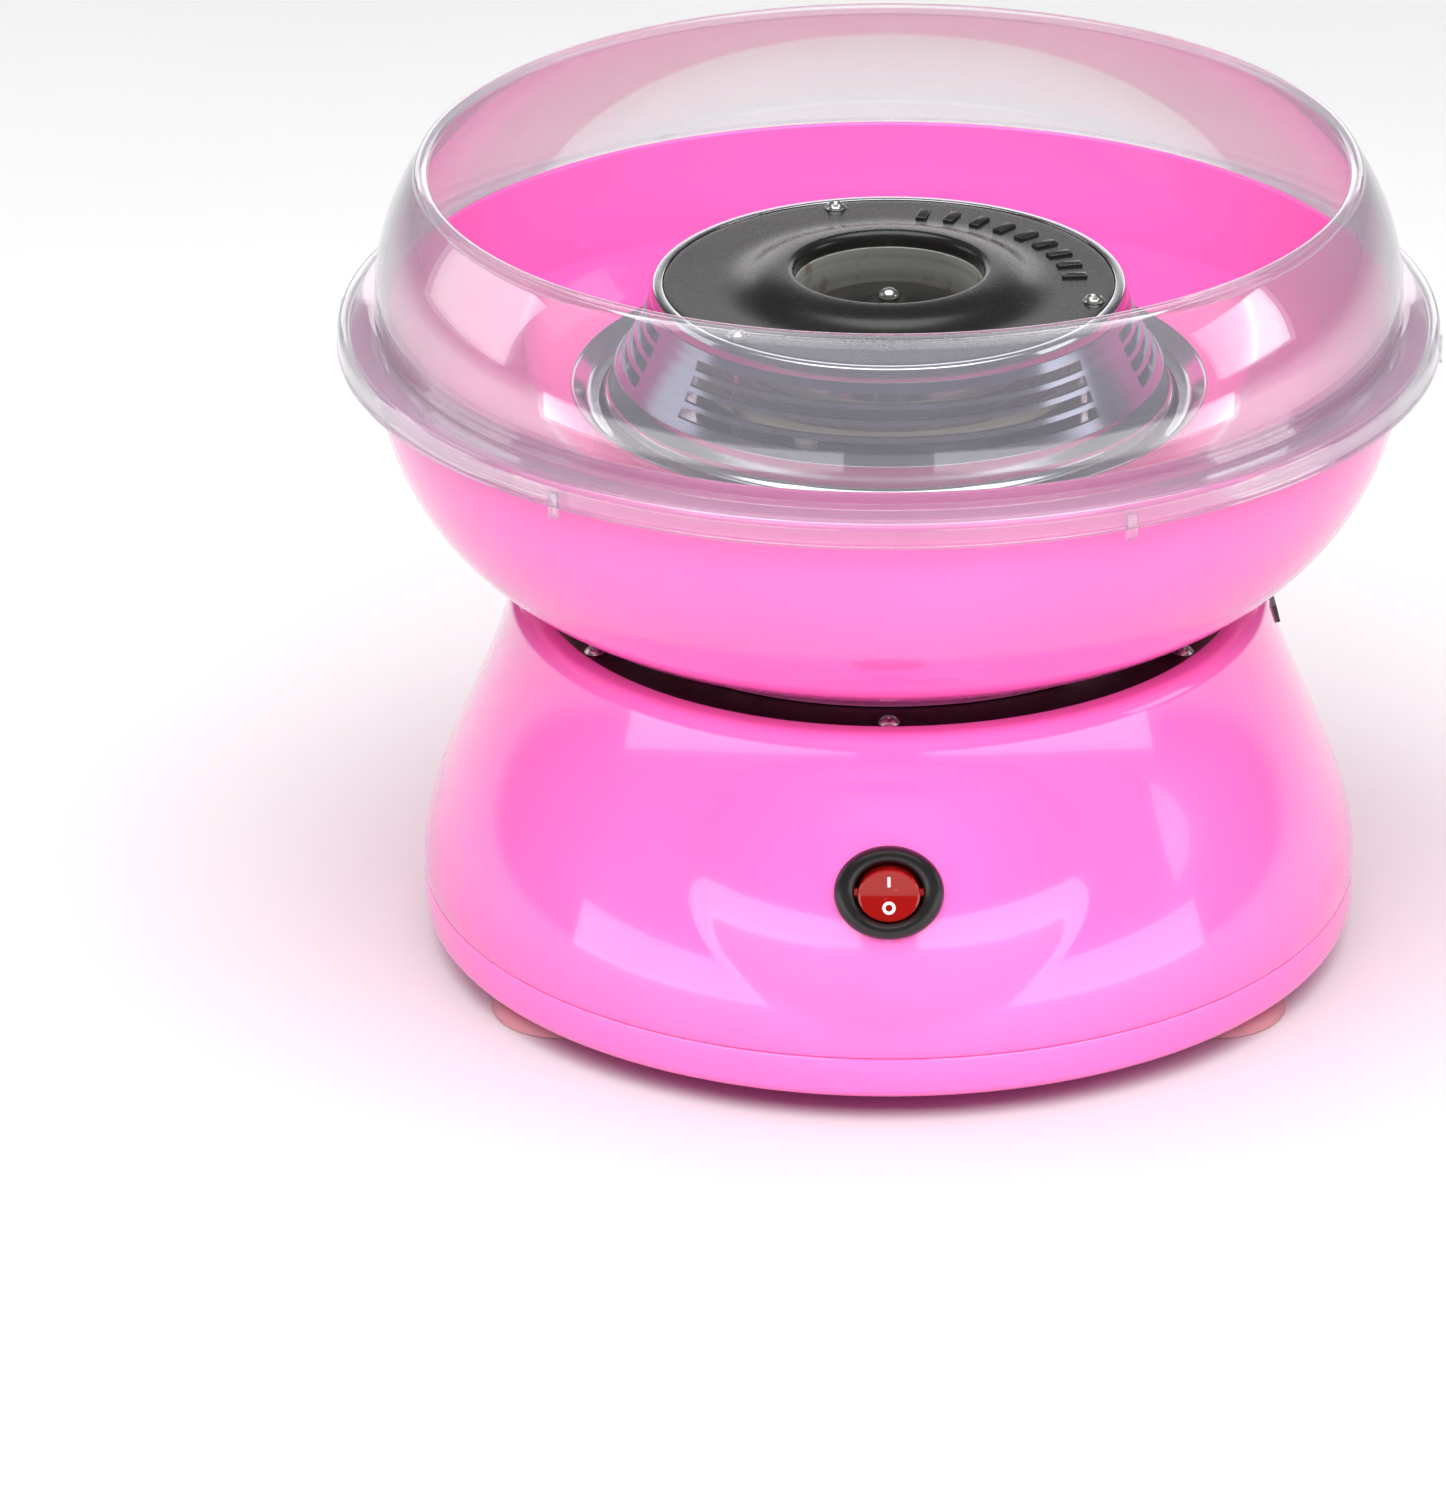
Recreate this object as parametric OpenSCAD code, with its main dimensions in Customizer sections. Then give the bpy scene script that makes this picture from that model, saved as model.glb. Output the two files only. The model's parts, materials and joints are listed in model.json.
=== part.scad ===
// Table-top cotton candy machine: clear guard, lift-off bowl, spinning heated head and motor base.
// Millimetres, +Z up, the switch faces -Y, the origin is on the table under the head's axis.

/* [Base] */
// Outer radius of the base near the table
base_r = 121.4; // [118:0.2:124]
// Outer radius of the base where its top edge starts to round over
base_neck_r = 98; // [97:0.5:100]
// Height of the base's top edge
base_top_z = 94.3; // [94:0.1:94.6]
// Height of the parting line between base shell and tray
parting_z = 17.6; // [16:0.2:19]
// Radius of the opening in the base's top
base_opening_r = 89.5; // [89.5:0.1:90]
// Wall thickness of the moulded casings
casing_t = 2.4; // [2:0.1:2.8]

/* [Front pad] */
// Radius of the ball that the raised front pad is part of
pad_ball_r = 80; // [78:1:84]
// How far the pad stands proud of the flared wall
pad_proud = 6.5; // [5.5:0.5:7]
// Height of the pad's centre and of the switch
pad_z = 58.5; // [57:0.5:60]
// Tilt of the pad's centre above horizontal, in degrees
pad_tilt = 21.5; // [20:0.5:23]

/* [Feet] */
// Outer radius of a suction foot
foot_r = 18.8; // [17:0.2:20]
// Sideways distance of the feet from the middle
foot_x = 83; // [80:1:85]
// Front and rear distance of the feet from the middle
foot_y = 57; // [54:1:60]

/* [Bowl] */
// Radius of the bowl's outer wall at its widest, below the flange
bowl_r = 131; // [130.6:0.2:131.4]
// Radius of the round-over between the bowl's wall and its underside
bowl_round_r = 64.6; // [64:0.2:65]
// Height of the middle of that round-over
bowl_round_z = 160.9; // [160.5:0.1:161.3]
// Wall thickness of the bowl
bowl_t = 2.4; // [2.2:0.1:2.6]
// Inner radius of the neck round the spinning head
neck_r = 74; // [74:0.1:74.4]
// Height of the neck's top
neck_z = 145.5; // [144:0.1:145.6]

/* [Guard] */
// Radius of the rim's crown
guard_rim_r = 118; // [117.6:0.1:118.4]
// Height of the guard's rim
guard_top_z = 210; // [206:0.5:212]
// Outer radius of the guard's wall at its foot
guard_foot_r = 130.5; // [130.4:0.1:130.8]
// Outer radius of the guard's skirt
guard_skirt_r = 140; // [139.8:0.1:141]
// Wall thickness of the guard
guard_t = 1.8; // [1.6:0.1:1.9]

/* [Spinning head] */
// Radius of the ring round the head's top
head_ring_r = 60; // [59.6:0.1:60.4]
// Height of the ring's top
head_top_z = 177.5; // [177.3:0.1:177.7]
// Radius of the sugar opening in the cap
sugar_mouth_r = 24; // [23.5:0.1:24.4]
// Radius of the lower pan's rolled edge
pan_r = 72.7; // [72:0.1:73]
// Number of slot windows round the band
windows = 3; // [2:1:3]
// Angle that one window spans, in degrees
window_angle = 101.5; // [90:0.5:104]
// Number of slots, one above the other, in a window
slot_rows = 4; // [3:1:4]

/* [Switch] */
// Width of the switch's oval bezel
bezel_w = 27.2; // [26:0.2:28]
// Height of the switch's oval bezel
bezel_h = 23.2; // [22.4:0.2:24]
// Tilt between the rocker's two positions, in degrees
rocker_travel = 20; // [12:1:20]

/* [Hidden] */
$fn = 96;
eps = 0.01;

// Base
base_bottom_z = 6;
tray_top_z = parting_z - 0.2;
tray_floor_top = base_bottom_z + casing_t;
flare_start_z = 20;
flare_end_z = 91;
ledge_r = 81;
plate_r = base_opening_r - 0.3;
plate_t = 2;
plate_z = base_top_z - 1;
plate_screw_r = 86;
plate_screw_n = 6;
m3_shaft = 1.45;
m3_head = 2.8;
m3_head_h = 1.9;
m3_clear = 1.7;
post_r = 4.5;
post_ring_r = 103;
post_angles = [70, 110, 250, 290];
post_h = 64;
thread_l = 22;
plate_boss_r = 3.6;
plate_boss_h = 9;
plate_hub_r = 14;
plate_slot = [6, 8];
plate_slot_r = 58;
foot_stem_r = 4.5;
foot_hole_r = 4.7;
foot_gap_z = 2.6;
foot_neck_z = 5.9;
foot_knob_r = 3.4;
drain_slot = [16, 3];
drain_slot_r = 18;
cutout_r = 8;
cutout_h = 7;
gland_z = 30;
gland_bore_r = 3.5;
gland_r = 6;
gland_flange_r = 8;
gland_seat_y = 118;
gland_boss_y = 113;
vent_angle = 4;
vent_z = 84.8;
vent_size = [6, 13.8, 4.8];
vent_slope = 13.5;
vent_proud = 0.8;
vent_pitch = 3.1;

// Motor
shaft_r = 4;
bearing_gap = 0.05;
bearing_r = 8;
bearing_h = 6;
bracket_top_z = 78;
bracket_bottom_z = 22;
bracket_t = 3;
bracket_top_size = [74, 22];
bracket_bottom_size = [62, 24];
crossbar_w = 12;
stack_size = [62, 52];
stack_z0 = 44;
stack_z1 = 70;
rotor_r = 16;
air_gap = 0.5;
stator_slot_w = 28;
stator_slot_h = 6.5;
stator_slot_y = 18.25;
coil_w = 27.6;
coil_h = 4.6;
coil_mid_y = 19.2;
coil_over = 4;
bolt_x = 25;
bolt_r = 1.6;
bolt_clear = 1.8;
mount_x = 30;
mount_y = 17;
brush_z = 34;
commutator_r = 9;
fan_z = 12;
fan_r = 30;
fan_blades = 9;
holder_size = [10, 16, 14.5];
holder_y = 19.2;
brush_size = [4.8, 12, 5.8];
brush_room = 0.1;
brush_slot = [brush_size[0] + 2 * brush_room, 18, brush_size[2] + 2 * brush_room];
mount_r = 5.5;
fan_hub_r = 8;
fan_hub_h = 9.4;
fan_disc_t = 1.4;
winding_r = 13.5;
rotor_slots = 12;
rotor_slot_r = 1.6;
shaft_z = 11;

// Wires
wire_r = 1.3;
wire_sides = 8;
wire_steps = 4;

// Slip rings
ring_r = 17;
ring_h = 6;
ring_zs = [108, 120];
brush_gap = 0.3;
hub_r = ring_r - 2.5;
ring_brush_l = 16;
ring_brush_w = 5.8;
carrier_x = 25;
carrier_size = [16, 16, 38];
spring_t = 0.5;

// Head
pan_z = 147.4;
pan_t = 1.2;
band_r0 = 69.8;
band_z0 = 155.4;
band_r1 = 60.9;
band_z1 = 173.9;
band_t = 1;
screw_ring_r = 53.5;
shaft_top_z = 170;
heater_z = 153;
heater_plate_r = 49;
heater_hole_r = 26;
heater_plate_t = 1.6;
coil_rings = [38, 45];
coil_wire_r = 1.7;
spacer_r = 3.5;
spacer_ring_r = 41;
slot_end = 1.8;
slot_rib = 1.2;
stud_size = [6.5, 3, 1.7];
stud_r = 44;
stud_angles = [4:9.4:82];
spreader_r = 19.8;
cap_screw_angles = [105, 225, 345];
cap_r = 57.3;
cap_z = head_top_z - 0.2;
cap_t = 3.4;
cup_z0 = 166;

// Bowl and guard
bowl_round_x = bowl_r - bowl_round_r;
bowl_foot_z = plate_z + 0.3;
neck_out_r = neck_r + bowl_t;
neck_seat_z = bowl_foot_z + 4;
neck_screw_l = 6;
rim_flange_z = 168.6;
lip_r = 128.4;
lip_top_z = 173;
guard_flange_z = rim_flange_z + 0.3;
guard_skirt_z = 163.3;
rim_bead_r = 1.9;
tab_angles = [for (i = [0:5]) 234.6 + 60 * i];

// Switch
pad_wall_r = flare_radius(pad_z);
pad_out = [cos(pad_tilt), sin(pad_tilt)];
pad_ball_y = pad_wall_r + pad_out[0] * (pad_proud - pad_ball_r);
pad_ball_z = pad_z + pad_out[1] * (pad_proud - pad_ball_r);
seat_y = pad_wall_r + pad_out[0] * pad_proud;
seat_z = pad_z + pad_out[1] * pad_proud;
bezel_h_out = 3;
seat_sink = 1.2;
switch_body_r = 9.9;
switch_hole_r = 10.1;
rocker_w = 15.6;
rocker_h = 13.4;
rocker_gap = 0.8;
rocker_axis_z = -1.5;
rocker_pin_r = 1.2;
rocker_h_body = 9;
rocker_dish = 8;
rocker_floor_z = -11;
housing_l = 18;

plastic_pink = [0.96, 0.42, 0.76];
metal = [0.78, 0.79, 0.8];
steel = [0.62, 0.63, 0.65];
brass = [0.8, 0.62, 0.3];
copper = [0.72, 0.4, 0.22];
black = [0.09, 0.09, 0.1];
mica = [0.75, 0.68, 0.55];
rubber = [0.72, 0.45, 0.5];

// Points of an arc round (cx, cz), from angle a0 to a1 in degrees.
function arc(cx, cz, r, a0, a1, n) =
    [for (i = [0:n]) [cx + r * cos(a0 + (a1 - a0) * i / n), cz + r * sin(a0 + (a1 - a0) * i / n)]];

// One point of a cubic curve through four control points.
function cubic(p, t) =
    p[0] * pow(1 - t, 3) + 3 * p[1] * t * pow(1 - t, 2) + 3 * p[2] * t * t * (1 - t) + p[3] * pow(t, 3);

function cubic_points(p, n) = [for (i = [0:n]) cubic(p, i / n)];

// Control points of the base's flared wall, moved inwards by t.
function flare(t) = [
    [base_r - t, flare_start_z],
    [base_r - t, flare_start_z * 2],
    [base_neck_r + 6 - t, flare_end_z - 25],
    [base_neck_r - t, flare_end_z]
];

// Wall radius of the flare at a height, found by halving the curve's parameter range.
function flare_at(z, lo, hi, n) =
    n == 0 ? cubic(flare(0), (lo + hi) / 2)[0]
    : cubic(flare(0), (lo + hi) / 2)[1] < z ? flare_at(z, (lo + hi) / 2, hi, n - 1)
    : flare_at(z, lo, (lo + hi) / 2, n - 1);

function flare_radius(z) = flare_at(z, 0, 1, 24);

function ellipse_points(w, h, n) =
    [for (i = [0:n - 1]) [w / 2 * cos(360 * i / n), h / 2 * sin(360 * i / n)]];

// A screw pointing down, its low domed head resting on z = 0.
module pan_screw(length, shaft = m3_shaft, head = m3_head, head_h = m3_head_h) {
    dome_r = (head * head + head_h * head_h) / (2 * head_h);
    half = asin(head / dome_r);
    rotate_extrude()
        polygon(concat(
            [[0, -length], [shaft, -length], [shaft, 0]],
            arc(0, head_h - dome_r, dome_r, 90 - half, 90, 6)
        ));
}

module around(n, r, start = 0) {
    for (i = [0:n - 1])
        rotate([0, 0, start + 360 * i / n])
            translate([r, 0, 0])
                children();
}

module at_angles(angles, r) {
    for (a = angles)
        rotate([0, 0, a])
            translate([r, 0, 0])
                children();
}

// At the motor's four rubber mounts.
module at_mounts(z) {
    for (x = [-mount_x, mount_x])
        for (y = [-mount_y, mount_y])
            translate([x, y, z])
                children();
}

// A round sleeve standing on z.
module sleeve(r, bore, z, h) {
    translate([0, 0, z])
        difference() {
            cylinder(r = r, h = h);
            translate([0, 0, -1])
                cylinder(r = bore, h = h + 2);
        }
}

// The switch's own frame: +Z out of the pad, +Y up along it.
module on_pad() {
    translate([0, -seat_y, seat_z])
        rotate([90 - pad_tilt, 0, 0])
            children();
}

// ---- Base casing ----

// The vent's own frame: +X out of the wall, +Z up along it.
module on_vent() {
    rotate([0, 0, vent_angle])
        translate([flare_radius(vent_z), 0, vent_z])
            rotate([0, -vent_slope, 0])
                children();
}

module base_outer_solid() {
    rotate_extrude()
        polygon(concat(
            [[0, parting_z], [base_r, parting_z]],
            cubic_points(flare(0), 22),
            arc(base_neck_r - 4.4, base_top_z - 4, 4, 12, 90, 6),
            [[base_opening_r + 1, base_top_z], [base_opening_r, plate_z], [0, plate_z]]
        ));
    pad_ball(pad_ball_r);
}

module pad_ball(r) {
    intersection() {
        translate([0, -pad_ball_y, pad_ball_z])
            sphere(r);
        translate([-pad_ball_r, -base_r - pad_proud, parting_z + 6])
            cube([pad_ball_r * 2, pad_ball_r, base_top_z - parting_z - 12]);
    }
}

module base_inner_solid() {
    rotate_extrude()
        polygon(concat(
            [[0, parting_z - 1], [base_r - casing_t, parting_z - 1]],
            cubic_points(flare(casing_t), 16),
            [[base_neck_r - casing_t - 1, plate_z - plate_t - casing_t], [0, plate_z - plate_t - casing_t]]
        ));
    pad_ball(pad_ball_r - casing_t);
}

module base_shell() {
    color(plastic_pink)
        difference() {
            union() {
                difference() {
                    base_outer_solid();
                    base_inner_solid();
                }
                intersection() {
                    union() {
                        at_angles(post_angles, post_ring_r)
                            translate([0, 0, parting_z])
                                cylinder(r = post_r, h = post_h);
                        around(plate_screw_n, plate_screw_r, 270)
                            translate([0, 0, plate_z - plate_t - plate_boss_h - 1])
                                cylinder(r = plate_boss_r, h = plate_boss_h);
                        translate([0, gland_boss_y, gland_z])
                            rotate([-90, 0, 0])
                                cylinder(r = gland_flange_r + 3, h = 15);
                    }
                    base_outer_solid();
                }
            }
            translate([0, 0, plate_z - plate_t])
                cylinder(r = base_opening_r, h = 20);
            cylinder(r = ledge_r, h = 120);
            at_angles(post_angles, post_ring_r)
                translate([0, 0, parting_z - 1])
                    cylinder(r = m3_shaft, h = thread_l);
            around(plate_screw_n, plate_screw_r, 270)
                translate([0, 0, plate_z - 11])
                    cylinder(r = m3_shaft, h = 12);
            on_pad() {
                translate([0, 0, -30])
                    cylinder(r = switch_hole_r, h = 40);
                translate([0, 0, -seat_sink])
                    oval(bezel_w + 0.1, bezel_h + 0.1, 10);
            }
            translate([0, gland_boss_y - 4, gland_z])
                rotate([-90, 0, 0])
                    cylinder(r = gland_r, h = 20);
            translate([0, gland_seat_y, gland_z])
                rotate([-90, 0, 0])
                    cylinder(r = gland_flange_r + 0.1, h = 10);
            on_vent()
                cube([30, vent_size[1] + 0.2, vent_size[2] + 0.2], center = true);
        }
}

module base_tray() {
    color(plastic_pink)
        difference() {
            union() {
                difference() {
                    rotate_extrude()
                        polygon(concat(
                            [[0, base_bottom_z]],
                            arc(base_r - 3, base_bottom_z + 2.5, 2.5, -90, 0, 5),
                            [[base_r, tray_top_z], [0, tray_top_z]]
                        ));
                    translate([0, 0, tray_floor_top])
                        cylinder(r = base_r - casing_t - 0.5, h = 20);
                }
                at_angles(post_angles, post_ring_r)
                    translate([0, 0, base_bottom_z])
                        cylinder(r = post_r + 0.8, h = tray_top_z - base_bottom_z);
            }
            at_angles(post_angles, post_ring_r) {
                cylinder(r = m3_clear, h = 30);
                cylinder(r = m3_head + 0.4, h = base_bottom_z + 5);
            }
            for (x = [-foot_x, foot_x])
                for (y = [-foot_y, foot_y])
                    translate([x, y, 0])
                        cylinder(r = foot_hole_r, h = 20);
            for (a = [0:30:330])
                rotate([0, 0, a])
                    translate([drain_slot_r, -drain_slot[1] / 2, 0])
                        cube([drain_slot[0], drain_slot[1], 20]);
        }
}

module suction_foot() {
    rotate_extrude()
        polygon(concat(
            [[0, foot_gap_z], [foot_r - 1.2, 0], [foot_r, 0]],
            arc(foot_r - 12, -6, 13.4, 28, 62, 6),
            [[foot_stem_r + 0.9, foot_neck_z], [foot_stem_r, foot_neck_z]],
            [[foot_stem_r, tray_floor_top], [foot_stem_r + 1.7, tray_floor_top]],
            arc(2.6, tray_floor_top, foot_knob_r, 8, 90, 5),
            [[0, tray_floor_top + foot_knob_r]]
        ));
}

module foot_at(x, y) {
    color(rubber)
        translate([x, y, 0])
            suction_foot();
}

module foot_front_left() foot_at(-foot_x, -foot_y);
module foot_front_right() foot_at(foot_x, -foot_y);
module foot_rear_left() foot_at(-foot_x, foot_y);
module foot_rear_right() foot_at(foot_x, foot_y);

module casing_screws() {
    color(steel)
        at_angles(post_angles, post_ring_r)
            translate([0, 0, base_bottom_z + 5])
                mirror([0, 0, 1])
                    pan_screw(24);
}

module top_plate() {
    color([0.3, 0.22, 0.2])
        difference() {
            union() {
                translate([0, 0, plate_z - plate_t])
                    cylinder(r = plate_r, h = plate_t);
                translate([0, 0, plate_z - plate_t])
                    cylinder(r = plate_hub_r, h = plate_t + 2.5);
            }
            translate([0, 0, plate_z - 10])
                cylinder(r = shaft_r + 2, h = 20);
            around(plate_screw_n, plate_screw_r, 270)
                translate([0, 0, plate_z - 10])
                    cylinder(r = m3_clear, h = 20);
            at_mounts(plate_z - 10)
                cylinder(r = m3_clear, h = 20);
            for (a = [30:60:330])
                rotate([0, 0, a])
                    translate([plate_slot_r, -plate_slot[1] / 2, plate_z - 10])
                        cube([plate_slot[0], plate_slot[1], 20]);
        }
}

module top_plate_screws() {
    color(metal)
        around(plate_screw_n, plate_screw_r, 270)
            translate([0, 0, plate_z])
                pan_screw(10);
}

// ---- Motor ----

module bolt_holes(z) {
    for (x = [-bolt_x, bolt_x])
        translate([x, 0, z])
            cylinder(r = bolt_clear, h = base_top_z);
}

module motor_bracket(z, size) {
    difference() {
        union() {
            translate([-size[0] / 2, -size[1] / 2, z])
                cube([size[0], size[1], bracket_t]);
            translate([0, 0, z])
                cylinder(r = bearing_r + 3, h = bearing_h);
        }
        translate([0, 0, z - 5])
            cylinder(r = bearing_r, h = 20);
        bolt_holes(z - 5);
    }
}

module motor_bracket_top() {
    color(metal)
        difference() {
            union() {
                motor_bracket(bracket_top_z, bracket_top_size);
                for (x = [-mount_x, mount_x])
                    translate([x - crossbar_w / 2, -mount_y - crossbar_w / 2, bracket_top_z])
                        cube([crossbar_w, mount_y * 2 + crossbar_w, bracket_t]);
            }
            bolt_holes(bracket_top_z - 5);
            at_mounts(bracket_top_z - 5)
                cylinder(r = m3_shaft, h = 20);
        }
}

module motor_bracket_bottom() {
    color(metal)
        motor_bracket(bracket_bottom_z, bracket_bottom_size);
}

module bearing_at(z) {
    color(brass)
        sleeve(bearing_r, shaft_r + bearing_gap, z, bearing_h);
}

module bearing_top() bearing_at(bracket_top_z);
module bearing_bottom() bearing_at(bracket_bottom_z);

module stator_core() {
    color(steel)
        difference() {
            translate([-stack_size[0] / 2, -stack_size[1] / 2, stack_z0])
                cube([stack_size[0], stack_size[1], stack_z1 - stack_z0]);
            translate([0, 0, stack_z0 - 1])
                cylinder(r = rotor_r + air_gap, h = stack_z1);
            for (s = [-1, 1])
                translate([-stator_slot_w / 2, s * stator_slot_y - stator_slot_h / 2, stack_z0 - 1])
                    cube([stator_slot_w, stator_slot_h, stack_z1]);
            bolt_holes(stack_z0 - 1);
        }
}

module field_coils() {
    color(copper)
        for (s = [-1, 1])
            translate([-coil_w / 2, s * coil_mid_y - coil_h / 2, stack_z0 - coil_over])
                cube([coil_w, coil_h, stack_z1 - stack_z0 + 2 * coil_over]);
}

module motor_bolts() {
    color(steel)
        for (x = [-bolt_x, bolt_x])
            translate([x, 0, bracket_top_z + bracket_t])
                pan_screw(bracket_top_z + bracket_t - bracket_bottom_z - 0.2, bolt_r, 3.2, 2.2);
}

module motor_mounts() {
    color(black)
        at_mounts(bracket_top_z + bracket_t)
            sleeve(mount_r, m3_clear, 0, plate_z - plate_t - bracket_top_z - bracket_t);
}

module motor_mount_screws() {
    color(steel)
        at_mounts(plate_z)
            pan_screw(plate_z - bracket_top_z);
}

module motor_brush_holders() {
    color(black)
        for (s = [-1, 1])
            difference() {
                translate([0, s * holder_y, bracket_bottom_z + bracket_t + holder_size[2] / 2])
                    cube(holder_size, center = true);
                translate([0, s * (holder_y - 0.2), brush_z])
                    cube(brush_slot, center = true);
            }
}

module motor_brushes() {
    color([0.2, 0.2, 0.21])
        for (s = [-1, 1])
            translate([0, s * (commutator_r + brush_gap + brush_size[1] / 2), brush_z])
                cube(brush_size, center = true);
}

// ---- Slip-ring brushes on the top plate ----

module ring_brush_carrier() {
    color(black)
        difference() {
            translate([carrier_x, -carrier_size[1] / 2, plate_z])
                cube(carrier_size);
            for (z = ring_zs)
                translate([carrier_x - 1, -ring_brush_w / 2 - brush_room, z])
                    cube([15.3, ring_brush_w + 2 * brush_room, ring_h - 1]);
        }
}

module ring_brushes() {
    color([0.2, 0.2, 0.21])
        for (z = ring_zs)
            translate([ring_r + brush_gap, -ring_brush_w / 2, z + brush_room])
                cube([ring_brush_l, ring_brush_w, ring_h - 1 - 2 * brush_room]);
}

module ring_brush_springs() {
    color(brass)
        for (z = ring_zs)
            translate([ring_r + brush_gap + ring_brush_l, -2.5, z + 1]) {
                cube([6, 5, spring_t]);
                for (x = [0, 6 - spring_t])
                    translate([x, 0, 0])
                        cube([spring_t, 5, 3]);
            }
}

module thermal_cutout() {
    color(metal)
        translate([-50, 12, plate_z - plate_t - cutout_h])
            cylinder(r = cutout_r, h = cutout_h);
}

// ---- Switch ----

module oval(w, h, height) {
    linear_extrude(height)
        polygon(ellipse_points(w, h, 48));
}

module switch_housing() {
    color(black)
        on_pad()
            difference() {
                union() {
                    translate([0, 0, -seat_sink])
                        oval(bezel_w, bezel_h, seat_sink + bezel_h_out - 1);
                    translate([0, 0, bezel_h_out - 1 - eps])
                        oval(bezel_w - 2.4, bezel_h - 2.4, 1);
                    translate([0, 0, -housing_l])
                        cylinder(r = switch_body_r, h = housing_l + eps);
                }
                translate([0, 0, rocker_floor_z])
                    oval(rocker_w + 2 * rocker_gap, rocker_h + 2 * rocker_gap, 20);
                translate([-rocker_w / 2 - 1.6, 0, rocker_axis_z])
                    rotate([0, 90, 0])
                        cylinder(r = rocker_pin_r + bearing_gap, h = rocker_w + 3.2);
            }
}

module switch_rocker() {
    color([0.75, 0.03, 0.03])
        on_pad()
            translate([0, 0, rocker_axis_z])
                rotate([rocker_travel / 2, 0, 0]) {
                    difference() {
                        translate([0, 0, -rocker_h_body / 2])
                            oval(rocker_w, rocker_h, rocker_h_body);
                        for (s = [-1, 1])
                            rotate([s * rocker_dish, 0, 0])
                                translate([-rocker_w, -0.1 - (s < 0 ? rocker_h * 1.5 : 0), 3.4])
                                    cube([rocker_w * 2, rocker_h * 1.5 + 0.2, 6]);
                    }
                    rotate([0, 90, 0])
                        translate([0, 0, -rocker_w / 2 - 1.3])
                            cylinder(r = rocker_pin_r, h = rocker_w + 2.6);
                }
}

module switch_terminals() {
    color(brass)
        on_pad()
            for (x = [-5, 0, 5])
                translate([x - 0.4, -2.4, -26])
                    cube([0.8, 4.8, 8]);
}

// ---- Cord inlet, vent and wiring ----

module cord_gland() {
    color(black)
        translate([0, gland_seat_y, gland_z])
            rotate([-90, 0, 0])
                difference() {
                    union() {
                        cylinder(r = gland_flange_r, h = 4);
                        translate([0, 0, 4])
                            cylinder(r1 = gland_flange_r, r2 = gland_r, h = 4);
                        translate([0, 0, -9])
                            cylinder(r = gland_r, h = 9);
                        translate([0, 0, gland_boss_y - gland_seat_y - 3])
                            cylinder(r = gland_flange_r + 1, h = 3);
                    }
                    translate([0, 0, -10])
                        cylinder(r = gland_bore_r, h = 20);
                }
}

module side_vent() {
    color(black)
        on_vent()
            translate([vent_proud - vent_size[0] / 2, 0, 0])
                difference() {
                    cube(vent_size, center = true);
                    for (i = [-1.5:1.5])
                        translate([0, i * vent_pitch, 0])
                            cube([10, 1.7, 2.8], center = true);
                }
}

function unit(v) = v / norm(v);

// A point of the smooth curve through the points p, at a share t of the stretch that starts at point i.
function route_point(p, i, t) =
    let (
        a = p[max(i - 1, 0)],
        b = p[i],
        c = p[i + 1],
        d = p[min(i + 2, len(p) - 1)]
    )
    b + (c - a) * t / 2 + (2 * a - 5 * b + 4 * c - d) * t * t / 2 + (3 * b - a - 3 * c + d) * t * t * t / 2;

// A wire: a tube swept along a smooth curve through the points. It never runs along the direction side.
module wire(points, side = [0, 0, 1]) {
    line = concat(
        [for (i = [0:len(points) - 2]) for (k = [0:wire_steps - 1]) route_point(points, i, k / wire_steps)],
        [points[len(points) - 1]]
    );
    last = len(line) - 1;
    rings = [
        for (i = [0:last])
            let (
                ahead = unit(line[min(i + 1, last)] - line[max(i - 1, 0)]),
                across = unit(cross(side, ahead)),
                up = cross(ahead, across)
            )
            for (k = [0:wire_sides - 1])
                line[i] + wire_r * (cos(360 * k / wire_sides) * across + sin(360 * k / wire_sides) * up)
    ];
    quads = [
        for (i = [0:last - 1])
            for (k = [0:wire_sides - 1])
                let (a = i * wire_sides, next = (k + 1) % wire_sides)
                [a + k, a + wire_sides + k, a + wire_sides + next, a + next]
    ];
    polyhedron(rings, concat(
        [[for (k = [0:wire_sides - 1]) k]],
        [for (q = quads) [q[0], q[1], q[2]]],
        [for (q = quads) [q[0], q[2], q[3]]],
        [[for (k = [wire_sides - 1:-1:0]) last * wire_sides + k]]
    ));
}

module wire_to_switch() {
    color([0.75, 0.1, 0.1])
        wire([
            [-2, 108, 30], [-40, 84, 22], [-80, 30, 20], [-80, -30, 20],
            [-45, -76, 24], [-8, -84, 38], [-5, -89, 46]
        ]);
}

module wire_to_motor() {
    color([0.15, 0.2, 0.6])
        wire([[2, 108, 30], [10, 80, 22], [4, 45, 22], [0, 29, 31]]);
}

module wire_switch_to_motor() {
    color([0.75, 0.1, 0.1])
        wire([[5, -89, 46], [8, -80, 36], [6, -50, 22], [0, -29, 31]]);
}

module wire_to_heater() {
    color([0.8, 0.8, 0.75])
        wire([
            [0, 108, 33], [30, 80, 40], [52, 30, 75], [52, 30, 104],
            [50, 9, 112], [46, 2, 113], [41.6, 0, 113]
        ], [1, 0, 0]);
}

// ---- Rotating group ----

module rotor_shaft() {
    color(steel)
        difference() {
            translate([0, 0, shaft_z])
                cylinder(r = shaft_r, h = shaft_top_z - shaft_z);
            translate([0, 0, shaft_top_z - 10])
                cylinder(r = 1.5, h = 20);
        }
}

module armature_core() {
    color(steel)
        difference() {
            sleeve(rotor_r, shaft_r, stack_z0 + 1, stack_z1 - stack_z0 - 2);
            around(rotor_slots, rotor_r - 2)
                translate([0, 0, stack_z0])
                    cylinder(r = rotor_slot_r, h = stack_z1 - stack_z0);
        }
}

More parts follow.
